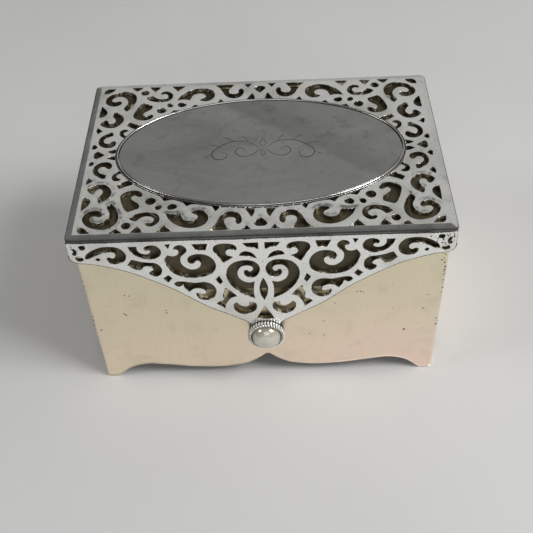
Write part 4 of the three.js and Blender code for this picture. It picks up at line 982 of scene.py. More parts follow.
# ---------------------------------------------------------------- the case
def case_loop(x0, x1, y0, y1, r, arcs, nx, ny):
    """Stations round the case from the front right corner, anticlockwise from above: outer point and outward direction.
    """
    st = []
    for k, (cx, cy, a0) in enumerate(((x1 - r, y0 + r, -90), (x1 - r, y1 - r, 0), (x0 + r, y1 - r, 90), (x0 + r, y0 + r, 180))):
        for i in range(arcs + 1):
            a = math.radians(a0 + 90 * i / arcs)
            st.append((cx + r * math.cos(a), cy + r * math.sin(a), math.cos(a), math.sin(a)))
        nxt = ((x1 - r, y0 + r, -90), (x1 - r, y1 - r, 0), (x0 + r, y1 - r, 90), (x0 + r, y0 + r, 180))[(k + 1) % 4]
        b = math.radians(nxt[2])
        bx, by = nxt[0] + r * math.cos(b), nxt[1] + r * math.sin(b)
        ax, ay, dx, dy = st[-1]
        n = ny if k in (0, 2) else nx
        for j in range(1, n):
            st.append((ax + (bx - ax) * j / n, ay + (by - ay) * j / n, dx, dy))
    return st


def make_case():
    wall = 1.5
    half = smooth([[-p[0], p[1]] for p in SKIRT_EDGE[1:]][::-1] + [list(p) for p in SKIRT_EDGE], 6, closed=False)
    hx, hz = half[:, 0], np.maximum(0, half[:, 1])
    order = np.argsort(hx)
    hx, hz = hx[order], hz[order]
    k = ((BY1 - BY0) / 2 - 4.5) / SKIRT_EDGE[-1][0]
    ymid = (BY0 + BY1) / 2

    st = case_loop(-BX, BX, BY0, BY1, 1.4, 8, 260, 170)
    b = Build()
    cols = []
    for x, y, dx, dy in st:
        if abs(dy) > 0.999 and abs(x) < BX - 1.3:
            zb = float(np.interp(x, hx, hz)) if abs(x) < hx[-1] else 0.0
        elif abs(dx) > 0.999 and BY0 + 1.3 < y < BY1 - 1.3:
            u = (y - ymid) / k
            zb = float(np.interp(u, hx, hz)) if abs(u) < hx[-1] else 0.0
        else:
            zb = 0.0
        ix = max(-BX + wall, min(BX - wall, x - dx * wall))
        iy = max(BY0 + wall, min(BY1 - wall, y - dy * wall))
        if abs(dx) > 0.02 and abs(dy) > 0.02:
            ix, iy = math.copysign(BX - wall, x), (BY0 + wall if y < 0 else BY1 - wall)
        cols.append((x, y, dx, dy, zb, ix, iy))

    def dent(x, y, z):
        return 0.10 * noise.noise(Vector((x * 0.035, y * 0.035, z * 0.045))) + 0.03 * noise.noise(Vector((x * 0.11, y * 0.11 + 5, z * 0.12)))

    levels = [(0.0, 1), (0.02, 1), (0.10, 1), (0.20, 1), (0.32, 1), (0.44, 1), (0.56, 1), (0.68, 1), (0.80, 1), (0.90, 1), (0.97, 1), (1.0, 1)]
    TOP_Z = B_TOP
    rows = []

    def row(fn):
        P, Nn = [], []
        for c in cols:
            p, n = fn(*c)
            P.append(p)
            Nn.append(n)
        rows.append((P, Nn))

    ROLL = 0.27
    row(lambda x, y, dx, dy, zb, ix, iy: ((x - dx * 0.25, y - dy * 0.25, TOP_Z), (0, 0, 1)))
    row(lambda x, y, dx, dy, zb, ix, iy: ((x, y, TOP_Z - 0.25), (dx, dy, 0.0)))
    for f, _ in levels[1:]:
        def fn(x, y, dx, dy, zb, ix, iy, f=f):
            z = TOP_Z - 0.25 - f * (TOP_Z - 0.25 - (zb + 2 * ROLL + 0.6))
            e = 0.5
            d = dent(x, y, z)
            fade = min(1.0, (1 - f) * 8, f * 8)
            tx, ty = -dy, dx
            g = (dent(x + tx * e, y + ty * e, z) - d) / e
            gz = (dent(x, y, z + e) - d) / e
            d *= fade
            return (x - dx * abs(d), y - dy * abs(d), z), (dx - tx * g * fade, dy - ty * g * fade, -gz * fade)
        row(fn)
    # the cut edge is turned over into a fine bead
    for a in (0, 25, 50, 75, 100, 130, 160, 180):
        def fb(x, y, dx, dy, zb, ix, iy, a=a):
            r = math.radians(a)
            z = zb + ROLL * (1 + math.cos(r))
            inw = 0.08 * (1 - math.sin(r)) if a <= 90 else 0.24 * (1 - math.sin(r))
            return (x - dx * inw, y - dy * inw, z), (dx * math.sin(r), dy * math.sin(r), 0.25 + 0.75 * math.cos(r) if a < 40 else math.cos(r))
        row(fb)
    n_out = len(rows)
    row(lambda x, y, dx, dy, zb, ix, iy: ((ix, iy, zb), (0, 0, -1)))
    row(lambda x, y, dx, dy, zb, ix, iy: ((ix, iy, TOP_Z), (-dx, -dy, 0)))
    # the underside of the bead and the inside wall take the dark brassy material: painted shade inside the case
    for i in range(len(rows) - 1):
        NB = rows[i + 1][1]
        NA = rows[i][1]
        if i == n_out:
            NA = rows[i + 1][1]
        b.strip(rows[i][0], rows[i + 1][0], NA, NB, 1 if i >= n_out - 1 else 0, flip=True)
    up = [(0, 0, 1)] * len(cols)
    b.strip(rows[-1][0], rows[0][0], up, up, 0, flip=True)
    return b.obj("case_shell", [MAT["rose"], MAT["gold"]])


def lens_mesh(name, items, mats, height=0.035, seg=12, custom=True):
    """items: centre (mm), outward direction, radius. Each is a closed shallow lens with an uneven outline."""
    b = Build()
    for j, (c, d, r) in enumerate(items):
        rnd = random.Random(1000 + j)
        d = Vector(d).normalized()
        u = d.orthogonal().normalized()
        v = d.cross(u)
        rad = [r * rnd.uniform(0.7, 1.15) for _ in range(seg)]
        c = Vector(c)
        front = c + d * height
        back = c - d * height * 2
        pts = [c + (u * math.cos(2 * math.pi * i / seg) + v * math.sin(2 * math.pi * i / seg)) * rad[i] for i in range(seg)]
        for i in range(seg):
            p, q = pts[i], pts[(i + 1) % seg]
            b.face([tuple(front), tuple(p), tuple(q)], [tuple(d)] * 3, 0)
            b.face([tuple(back), tuple(q), tuple(p)], [tuple(-d)] * 3, 0)
    return b.obj(name, mats, custom)


# ---------------------------------------------------------------- the oval
def ellipse(a, b_, n=240):
    t = np.linspace(0, 2 * math.pi, n, endpoint=False)
    return np.stack([a * np.cos(t), b_ * np.sin(t)], 1)


def make_oval():
    b = Build()
    E = ellipse(OA, OB)
    n, m = normals2(E)
    H = O_TOP - Z_TOP
    prof = [(0.0, 0.0), (0.0, 0.26), (0.06, 0.34), (0.16, 0.36), (0.24, 0.26), (0.30, 0.14), (0.40, 0.12), (0.46, 0.22), (0.54, 0.48), (0.64, 0.62), (0.80, 0.69), (0.95, 0.70), (1.06, 0.66), (1.16, 0.50), (1.22, 0.30), (1.30, 0.0)]
    # segments marked 1 take the near-black material: painted shade lines at the rim's foot, in the notch beside the
    # outer bead, and at the inner edge
    mat = [1, 0, 0, 1, 1, 1, 1, 1, 0, 0, 0, 0, 0, 1, 1]
    rows = []
    for i, (off, h) in enumerate(prof):
        a = prof[max(0, i - 1)]
        c = prof[min(len(prof) - 1, i + 1)]
        t = (c[0] - a[0], (c[1] - a[1]) * H / 0.7)
        L = math.hypot(*t)
        nr, nz = t[1] / L, t[0] / L
        wob = np.array([noise.noise(Vector((p[0] * 0.16, p[1] * 0.16, 9.0 + i * 0.05))) for p in E])
        z = Z_TOP + h * H / 0.7 + (wob * 0.03 if 0.1 < h < 0.62 else 0 * wob)
        rows.append(([(p[0] - q[0] * off, p[1] - q[1] * off, zz) for p, q, zz in zip(E, n, z)], [(q[0] * nr, q[1] * nr, nz) for q in n]))
    for i in range(len(rows) - 1):
        b.strip(rows[i][0], rows[i + 1][0], rows[i][1], rows[i + 1][1], mat[i], flip=True)
    down = [(0, 0, -1)] * len(E)
    b.strip(rows[-1][0], rows[0][0], down, down, 0, flip=True)
    return b.obj("oval_rim", [MAT["rim"], MAT["groove"]])


def make_plaque():
    b = Build()
    lo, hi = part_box("oval_plaque")
    a, c = hi[0] * 1000, (hi[1] - lo[1]) * 500
    H = P_TOP - Z_TOP
    n = 160
    ks = [0.0, 0.12, 0.24, 0.36, 0.48, 0.6, 0.7, 0.8, 0.88, 0.94, 0.98, 0.996]

    def bump(x, y):
        r = math.hypot(x / a, y / c)
        return 0.07 * noise.noise(Vector((x * 0.045, y * 0.06, 1.7))) * max(0, 1 - r ** 4) - 0.05 * (1 - r * r)

    rows = []
    for k in ks[1:]:
        E = ellipse(a * k, c * k, n)
        P, N_ = [], []
        for x, y in E:
            e = 0.4
            g = ((bump(x + e, y) - bump(x - e, y)) / (2 * e), (bump(x, y + e) - bump(x, y - e)) / (2 * e))
            P.append((x, y, Z_TOP + H - 0.02 + bump(x, y)))
            N_.append((-g[0], -g[1], 1))
        rows.append((P, N_))
    E = ellipse(a, c, n)
    en, _ = normals2(E)
    rows.append(([(x, y, Z_TOP + H - 0.13) for x, y in E], [(q[0], q[1], 0.6) for q in en]))
    rows.append(([(x, y, Z_TOP) for x, y in E], [(q[0], q[1], 0) for q in en]))
    P, N_ = rows[0]
    top = (0, 0, Z_TOP + H - 0.02 + bump(0, 0))
    for i in range(n):
        j = (i + 1) % n
        b.face([top, P[i], P[j]], [(0, 0, 1), N_[i], N_[j]], 0)
    for i in range(len(rows) - 1):
        b.strip(rows[i][0], rows[i + 1][0], rows[i][1], rows[i + 1][1], 0, flip=True)
    E0 = rows[-1][0]
    for i in range(n):
        j = (i + 1) % n
        b.face([(0, 0, Z_TOP), E0[j], E0[i]], [(0, 0, -1)] * 3, 0)
    return b.obj("plaque_oval", [MAT["plaque"]]), bump


# a generic engraved flourish: fine dark strokes, each a thin closed ribbon on the plaque
def ribbon(b, pts, w0, w1, zf, thick=0.02):
    pts = np.array(pts)
    t = np.gradient(pts, axis=0)
    t /= np.maximum(1e-9, np.linalg.norm(t, axis=1))[:, None]
    nn = np.stack([-t[:, 1], t[:, 0]], 1)
    N = len(pts)
    L, R = [], []
    for i in range(N):
        f = i / (N - 1)
        w = (w0 + (w1 - w0) * math.sin(math.pi * f)) / 2
        L.append(pts[i] + nn[i] * w)
        R.append(pts[i] - nn[i] * w)
    up, dn = (0, 0, 1), (0, 0, -1)

    def q(p, dz):
        return (p[0], p[1], zf(p[0], p[1]) + dz)
    for i in range(N - 1):
        b.face([q(L[i], thick), q(R[i], thick), q(R[i + 1], thick), q(L[i + 1], thick)], [up] * 4, 0)
        b.face([q(L[i], -thick), q(L[i + 1], -thick), q(R[i + 1], -thick), q(R[i], -thick)], [dn] * 4, 0)
        b.face([q(L[i], -thick), q(L[i], thick), q(L[i + 1], thick), q(L[i + 1], -thick)], [(nn[i][0], nn[i][1], 0)] * 4, 0)
        b.face([q(R[i], thick), q(R[i], -thick), q(R[i + 1], -thick), q(R[i + 1], thick)], [(-nn[i][0], -nn[i][1], 0)] * 4, 0)
    b.face([q(L[0], thick), q(L[0], -thick), q(R[0], -thick), q(R[0], thick)], [(-t[0][0], -t[0][1], 0)] * 4, 0)
    b.face([q(L[-1], -thick), q(L[-1], thick), q(R[-1], thick), q(R[-1], -thick)], [(t[-1][0], t[-1][1], 0)] * 4, 0)


def spiral(cx, cy, r0, r1, a0, turns, n=40):
    return [(cx + (r0 + (r1 - r0) * k / n) * math.cos(math.radians(a0) + turns * 2 * math.pi * k / n),
             cy + (r0 + (r1 - r0) * k / n) * math.sin(math.radians(a0) + turns * 2 * math.pi * k / n)) for k in range(n + 1)]


def make_flourish(bump):
    b = Build()
    zf = lambda x, y: P_TOP - 0.02 + bump(x, y)
    strokes = []
    for s in (-1, 1):
        # a pair of long scrolls springing from a small centre bud, with leaf strokes
        stem = smooth([[s * 0.6, 0.0], [s * 3.2, 2.2], [s * 6.6, 2.6], [s * 9.8, 0.9], [s * 11.6, -1.6], [s * 10.6, -3.6], [s * 8.6, -3.4], [s * 8.2, -1.8], [s * 9.3, -1.2]], 8, closed=False)
        strokes.append((stem, 0.10, 0.34))
        stem2 = smooth([[s * 0.6, -0.4], [s * 2.6, -2.4], [s * 5.0, -2.8], [s * 6.3, -1.2], [s * 5.4, 0.2], [s * 4.2, -0.3], [s * 4.3, -1.2]], 8, closed=False)
        strokes.append((stem2, 0.10, 0.28))
        for x, y, dx, dy in ((3.4, 2.3, 1.4, 2.2), (6.8, 2.6, 2.6, 1.6), (9.9, 0.9, 2.6, 0.6), (11.5, -1.7, 2.0, -0.9)):
            leaf = smooth([[s * x, y], [s * (x + dx * 0.5), y + dy * 0.75], [s * (x + dx), y + dy]], 8, closed=False)
            strokes.append((leaf, 0.08, 0.22))
    strokes.append((smooth([[0, 0.4], [-0.7, 1.6], [0, 3.2], [0.7, 1.6], [0, 0.4]], 8, closed=False), 0.1, 0.2))
    strokes.append((smooth([[0, -0.6], [-0.45, -1.6], [0, -2.8], [0.45, -1.6], [0, -0.6]], 8, closed=False), 0.1, 0.2))
    for pts, a, c in strokes:
        ribbon(b, [(p[0] * 1.55 + 1.0, p[1] * 1.55 + 0.6) for p in pts], a, c, zf)
    return b.obj("engraved_flourish", [MAT["tarnish_line"]])


# ---------------------------------------------------------------- knob
def revolve(b, prof, n, y0, mat=0, closed_ends=True, wob=None):
    """prof: (radius, forward) pairs, from the back middle out and round to the front middle. The axis runs towards the front."""
    rows = []
    for i, (r, d) in enumerate(prof):
        a = prof[max(0, i - 1)]
        c = prof[min(len(prof) - 1, i + 1)]
        if a[0] == 0 and i == 0:
            nr, nd = 0, -1 if prof[1][1] <= prof[0][1] + 1e-6 else 1
        tr, td = c[0] - a[0], c[1] - a[1]
        L = math.hypot(tr, td) or 1
        nr, nd = td / L, -tr / L
        P, N_ = [], []
        for k in range(n):
            t = 2 * math.pi * k / n
            w = wob(t, r, d) if wob else 0
            P.append(((r + w) * math.cos(t), y0 - d, KZ + (r + w) * math.sin(t)))
            N_.append((nr * math.cos(t), -nd, nr * math.sin(t)))
        rows.append((P, N_, r))
    for i in range(len(rows) - 1):
        (A, NA, ra), (B, NB, rb) = rows[i], rows[i + 1]
        for k in range(n):
            j = (k + 1) % n
            if ra == 0:
                b.face([A[0], B[k], B[j]], [NA[0], NB[k], NB[j]], mat)
            elif rb == 0:
                b.face([A[k], B[0], A[j]], [NA[k], NB[0], NA[j]], mat)
            else:
                b.face([A[k], B[k], B[j], A[j]], [NA[k], NB[k], NB[j], NA[j]], mat)


def make_knob():
    b = Build()
    # base disc and the cup's inner lip, in the near-black material: painted shade under the rope
    revolve(b, [(0, 0), (6.0, 0), (6.3, 0.05), (6.45, 0.3), (6.45, 0.7), (6.2, 0.95), (5.42, 1.0), (5.42, 1.5), (5.36, 1.6), (5.28, 1.6), (5.22, 1.5), (5.22, 1.0), (0, 1.0)], 96, FY0, 1)
    # the rope: two strands of slanted beads laid round a ring, one behind the other
    for R, r0, fwd_, BEADS, lean in ((6.0, 0.68, 1.66, 38, 1.0), (6.12, 0.52, 0.70, 36, -1.0)):
        NT, NP = 760, 22
        rows = []
        for i in range(NT):
            t = 2 * math.pi * i / NT
            row = []
            for k in range(NP):
                p = 2 * math.pi * k / NP
                ph = BEADS * t / 2 - lean * (0.9 * math.cos(p) - 0.5 * math.sin(p))
                s = abs(math.sin(ph)) ** 0.6
                rr = r0 * (0.30 + 0.70 * s) + 0.02 * noise.noise(Vector((math.cos(t) * 4, math.sin(t) * 4, p)))
                q = R + rr * math.cos(p)
                row.append((q * math.cos(t), FY0 - fwd_ - rr * 1.15 * math.sin(p), KZ + q * math.sin(t)))
            rows.append(row)
        G = np.array(rows)
        du = np.roll(G, -1, 0) - np.roll(G, 1, 0)
        dv = np.roll(G, -1, 1) - np.roll(G, 1, 1)
        nn = np.cross(du, dv)
        nn /= np.maximum(1e-9, np.linalg.norm(nn, axis=2))[:, :, None]
        c = np.stack([np.array([R * math.cos(2 * math.pi * i / NT), FY0 - fwd_, KZ + R * math.sin(2 * math.pi * i / NT)]) for i in range(NT)])
        if np.sum((G[:, 0] - c) * nn[:, 0]) < 0:
            nn = -nn
        # faces in the crevices between the beads take the near-black material: painted shade
        for i in range(NT):
            j = (i + 1) % NT
            for k in range(NP):
                l = (k + 1) % NP
                p = 2 * math.pi * (k + 0.5) / NP
                groove = abs(math.sin(BEADS * math.pi * (i + 0.5) / NT - lean * (0.9 * math.cos(p) - 0.5 * math.sin(p)))) < 0.58
                q = [tuple(G[i, k]), tuple(G[i, l]), tuple(G[j, l]), tuple(G[j, k])]
                b.face(q, [tuple(nn[i, k]), tuple(nn[i, l]), tuple(nn[j, l]), tuple(nn[j, k])], 1 if groove else 0)
    return b.obj("knob_rope_bezel", [MAT["bead"], MAT["groove"]])


def make_pearl():
    b = Build()
    prof = [(0, 1.02), (4.9, 1.02), (5.1, 1.15), (PEARL_R, 1.5)]
    for i in range(1, 22):
        a = math.radians(90 * i / 22)
        prof.append((PEARL_R * math.cos(a) ** 0.92, 1.5 + 3.68 * math.sin(a)))
    prof.append((0, 5.18))
    revolve(b, prof, 96, FY0, 0)
    return b.obj("pearl_cabochon", [MAT["pearl"]])


# ---------------------------------------------------------------- pads and plain plates with rounded edges
def rounded_slab(name, lo, hi, r, mats, n=(24, 24, 4), swell=None):
    """A closed slab between two corners (mm), its edges rounded by r, its points then moved by swell(p) -> offset."""
    lo, hi = np.array(lo, float), np.array(hi, float)
    bm = bmesh.new()
    size = hi - lo
    mid = (lo + hi) / 2

    def cuts(a, b_, k):
        rr = min(r, (b_ - a) / 2)
        e = [a, a + rr * 0.3, a + rr * 0.7, a + rr]
        inner = [a + rr + (b_ - a - 2 * rr) * i / k for i in range(1, k)]
        out = e + inner + [b_ - rr, b_ - rr * 0.7, b_ - rr * 0.3, b_]
        return sorted(set(round(v, 5) for v in out))
    C = [cuts(lo[i], hi[i], n[i]) for i in range(3)]
    verts = {}

    def vv(p):
        k = tuple(round(x, 5) for x in p)
        if k not in verts:
            q = np.array(p, float)
            c = np.clip(q, lo + np.minimum(r, size / 2), hi - np.minimum(r, size / 2))
            d = q - c
            rr = np.minimum(r, size / 2)
            L = np.linalg.norm(d / rr)
            m = np.max(np.abs(d / rr))
            if L > 1e-9 and m > 0:
                d = d / L * m
            q = c + d
            if swell:
                q = q + np.array(swell(q))
            verts[k] = bm.verts.new(W(*q))
        return verts[k]
    for ax in range(3):
        u, v = [(1, 2), (2, 0), (0, 1)][ax]
        for side, val in ((0, C[ax][0]), (1, C[ax][-1])):
            for i in range(len(C[u]) - 1):
                for j in range(len(C[v]) - 1):
                    q = []
                    for a, c in ((C[u][i], C[v][j]), (C[u][i + 1], C[v][j]), (C[u][i + 1], C[v][j + 1]), (C[u][i], C[v][j + 1])):
                        p = [0, 0, 0]
                        p[ax], p[u], p[v] = val, a, c
                        q.append(vv(p))
                    if side == 0:
                        q = q[::-1]
                    bm.faces.new(q)
    me = bpy.data.meshes.new(name)
    bm.to_mesh(me)
    bm.free()
    for p in me.polygons:
        p.use_smooth = True
    o = bpy.data.objects.new(name, me)
    for m in mats:
        me.materials.append(m)
    scene.collection.objects.link(o)
    return o


def mmbox(node):
    lo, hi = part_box(node)
    return (lo[0] * 1000, lo[1] * 1000 - SY, lo[2] * 1000), (hi[0] * 1000, hi[1] * 1000 - SY, hi[2] * 1000)


def tarnish_line():
    m, N, L, p = new_mat("engraved_line", (0.03, 0.03, 0.03), 0.4, 0.5)
    n = noise_tex(N, L, coords(N, L), 1400, 3)
    L.new(ramp(N, L, n, [(0.3, (0.012, 0.012, 0.012)), (0.8, (0.07, 0.07, 0.065))]), p.inputs["Base Color"])
    return m


MAT["tarnish_line"] = tarnish_line()

# ---------------------------------------------------------------- put together: the lid
def on(o, body, node=None):
    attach(o, body)
    if node:
        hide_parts(*([node] if isinstance(node, str) else node))
    check_out(o)
    return o


on(make_lid(), "lid", "lid_top")
on(make_flap(), "lid", "lid_flap")
on(make_side(1), "lid", "lid_side_right")
on(make_side(-1), "lid", "lid_side_left")
on(make_oval(), "lid", "oval_bezel")


def make_rim_beads():
    """Small bright beads of solder left along the outside of the oval's rim."""
    items = []
    r_ = random.Random(29)
    for k in range(150):
        t = r_.uniform(0, 2 * math.pi)
        if noise.noise(Vector((math.cos(t) * 3, math.sin(t) * 3, 2.0))) < -0.08:
            continue
        nx, ny = math.cos(t) / OA, math.sin(t) / OB
        L = math.hypot(nx, ny)
        nx, ny = nx / L, ny / L
        off = r_.uniform(0.02, 0.20)
        items.append(((OA * math.cos(t) + nx * off, OB * math.sin(t) + ny * off, Z_TOP + 0.02), (nx * 0.35, ny * 0.35, 1), r_.uniform(0.14, 0.34)))
    return lens_mesh("rim_solder_beads", items, [MAT["bead"]], 0.18, 10, False)


on(make_rim_beads(), "lid", None)
plaque_obj, plaque_bump = make_plaque()
on(plaque_obj, "lid", "oval_plaque")
on(make_flourish(plaque_bump), "lid", None)
on(make_knob(), "lid", "knob_bezel")
on(make_pearl(), "lid", "knob_pearl")


def make_seam():
    """The uneven soldered seam between the lid's downturned edge and the flap: one bead, thick in two places."""
    b = Build()
    n, seg = 520, 8
    rows = []
    for i in range(n + 1):
        x = -61.5 + 123.0 * i / n
        thick = 0.085 + 0.15 * max(0, noise.noise(Vector((x * 0.30, 1.0, 0)))) + 0.07 * max(0, noise.noise(Vector((x * 1.3, 4.0, 0))))
        for c, w, h in ((-6.5, 19, 0.26), (52, 10, 0.24), (-50, 5, 0.10)):
            thick += h * math.exp(-((x - c) / w) ** 2 * 2.2) * (0.55 + 0.9 * abs(noise.noise(Vector((x * 0.9, 7.0, 0)))))
        zc = Z_UNDER - 0.17 + 0.10 * noise.noise(Vector((x * 0.5, 2.0, 0)))
        e = min(1.0, i / 6, (n - i) / 6)
        thick *= 0.15 + 0.85 * e
        P, N_ = [], []
        for k in range(seg):
            a = 2 * math.pi * k / seg
            w = 1 + 0.30 * noise.noise(Vector((x * 2.3, k * 1.9, 3)))
            P.append((x, FY0 - 0.02 + math.cos(a) * thick * 0.75 * w, zc + math.sin(a) * thick * 1.15 * w))
            N_.append((0, math.cos(a), math.sin(a)))
        rows.append((P, N_))
    for i in range(n):
        b.strip(rows[i][0], rows[i + 1][0], rows[i][1], rows[i + 1][1], 0)
    for r, s in ((rows[0], -1), (rows[-1], 1)):
        q = r[0] if s > 0 else r[0][::-1]
        b.face(q, [(s, 0, 0)] * seg, 0)
    return b.obj("lid_seam_bead", [MAT["seam"]])


on(make_seam(), "lid", None)

# the backing sheet, with a raised fine frame near its edge
def make_backing():
    lo, hi = mmbox("lid_backing")
    b = Build()
    t = hi[2] - lo[2]
    sx, sy0, sy1 = 48.6, -37.2, 31.6

    def mids(pts):
        """One extra station on each upright side, at y = 10."""
        out = []
        for i, p in enumerate(pts):
            q = pts[(i + 1) % len(pts)]
            out.append(p)
            if abs(q[1] - p[1]) > 20:
                out.append(np.array([p[0] + (q[0] - p[0]) * (10 - p[1]) / (q[1] - p[1]), 10.0]))
        return np.array(out)

    def rr(ins, r=0.8):
        return mids(rrect(lo[0] + ins, hi[0] - ins, lo[1] + ins, hi[1] - ins, r, 4))

    def rs(off, r=0.8):
        return mids(rrect(-sx - off, sx + off, max(sy0 - off, lo[1] + 0.2 - off * 0.1), sy1 + off, r, 4))
    prof = [(rr(0), lo[2], (1, 0)), (rr(0), hi[2] - 0.22, (1, 0.4)), (rr(0.12), hi[2] - 0.16, (0, 1)), (rs(0.55), hi[2] - 0.16, (0.5, 1)), (rs(0.32), hi[2] - 0.02, (0.3, 1)),
            (rs(-0.32), hi[2] - 0.02, (-0.3, 1)), (rs(-0.55), hi[2] - 0.16, (-0.5, 1)), (rs(-3), hi[2] - 0.16, (0, 1))]
    nn, _ = normals2(rr(0))
    rows = [([(p[0], p[1], z) for p in P], [(q[0] * d[0], q[1] * d[0], d[1]) for q in nn]) for P, z, d in prof]
    # the back part of the raised frame (y over 8) takes the lighter brassy material, a painted highlight; the rest of
    # the sheet the dark brassy material, painted shade
    for i in range(len(rows) - 1):
        (A, NA), (B, NB) = rows[i], rows[i + 1]
        for k in range(len(A)):
            l = (k + 1) % len(A)
            b.face([A[k], A[l], B[l], B[k]], [NA[k], NA[l], NB[l], NB[k]], 1 if i in (3, 4, 5) and min(A[k][1], A[l][1]) > 8 else 0)
    last, first = rows[-1][0], rows[0][0]
    b.face(last, [(0, 0, 1)] * len(last), 0)
    b.face(first[::-1], [(0, 0, -1)] * len(first), 0)
    return b.obj("lid_backing_sheet", [MAT["gold"], MAT["gold_bright"]])


# lighter brassy material for the back part of the backing's raised frame and the flap backing's edges: painted
# highlight
def gold_bright():
    m, N, L, p = new_mat("backing_ridge_painted_highlight", (0.50, 0.46, 0.36), 0.9, 0.35)
    n = noise_tex(N, L, coords(N, L), 400, 4)
    L.new(ramp(N, L, n, [(0.3, (0.30, 0.26, 0.18)), (0.6, (0.55, 0.51, 0.42))]), p.inputs["Base Color"])
    L.new(ramp(N, L, n, [(0.3, grey(0.5)), (0.7, grey(0.3))]), p.inputs["Roughness"])
    return m


MAT["gold_bright"] = gold_bright()
on(make_backing(), "lid", "lid_backing")


def make_flap_backing():
    lo, hi = mmbox("flap_backing")
    left = [[lo[0], hi[2]], [lo[0], 67.7], [-57.0, 65.6], [-50.0, 63.3], [-45.8, 61.7], [-41.7, 59.5], [-37.5, 56.9], [-33.4, 54.1], [-29.2, 51.0], [-26.2, lo[2]]]
    pts = np.array(left + [[-x, z] for x, z in left[::-1]])
    b = Build()
    t = hi[1] - lo[1]
    # the sheet takes the dark brassy material, painted shade behind the flap's piercings; its edges the lighter brassy
    # material, painted highlight
    plate(b, densify(pts, 2.0), [], t, 0.06, lambda u, v, h: (u, hi[1] - h, v), lambda a, c, d: (a, -d, c), mats=(0, 1, 0), step=3.0)
    return b.obj("flap_backing_sheet", [MAT["gold"], MAT["gold_bright"]])


on(make_flap_backing(), "lid", "flap_backing")


def make_mirror():
    lo, hi = mmbox("lid_mirror")
    b = Build()

    def rr(ins):
        return rrect(lo[0] + ins, hi[0] - ins, lo[1] + ins, hi[1] - ins, 2.5, 6)
    nn, _ = normals2(rr(0))
    prof = [(rr(0), hi[2], (0, 1)), (rr(0), lo[2] + 0.75, (1, 0)), (rr(0.05), lo[2] + 0.68, (0.15, -1)), (rr(5.0), lo[2], (0.15, -1)), (rr(5.2), lo[2], (0, -1))]
    rows = [([(p[0], p[1], z) for p in P], [(q[0] * d[0], q[1] * d[0], d[1]) for q in nn]) for P, z, d in prof]
    for i in range(len(rows) - 1):
        b.strip(rows[i][0], rows[i + 1][0], rows[i][1], rows[i + 1][1], 0, flip=True)
    b.face(rows[0][0], [(0, 0, 1)] * len(nn), 0)
    b.face(rows[-1][0][::-1], [(0, 0, -1)] * len(nn), 0)
    return b.obj("mirror_bevelled", [MAT["mirror"]])


on(make_mirror(), "lid", "lid_mirror")


def make_rail():
    lo, hi = mmbox("lid_back_rail")
    n = 10.5
    xs = lo[0]
    zn = 68.1
    c = 32
    z0, z1 = lo[2], hi[2]
    pts = [(hi[0], z0), (hi[0], z1), (lo[0], z1), (lo[0], z0)]
    for cc in (-c, c):
        pts += [(cc - n, z0), (cc - n, zn), (cc + n, zn), (cc + n, z0)]
    b = Build()
    t = hi[1] - lo[1]
    plate(b, densify(np.array(pts), 4.0), [], t, 0.15, lambda u, v, h: (-u, lo[1] + h, v), lambda a, cc, d: (-a, d, cc), mats=(0, 1, 1), step=3.0)
    return b.obj("back_rail", [MAT["silver"], MAT["wall"]])


on(make_rail(), "lid", "lid_back_rail")

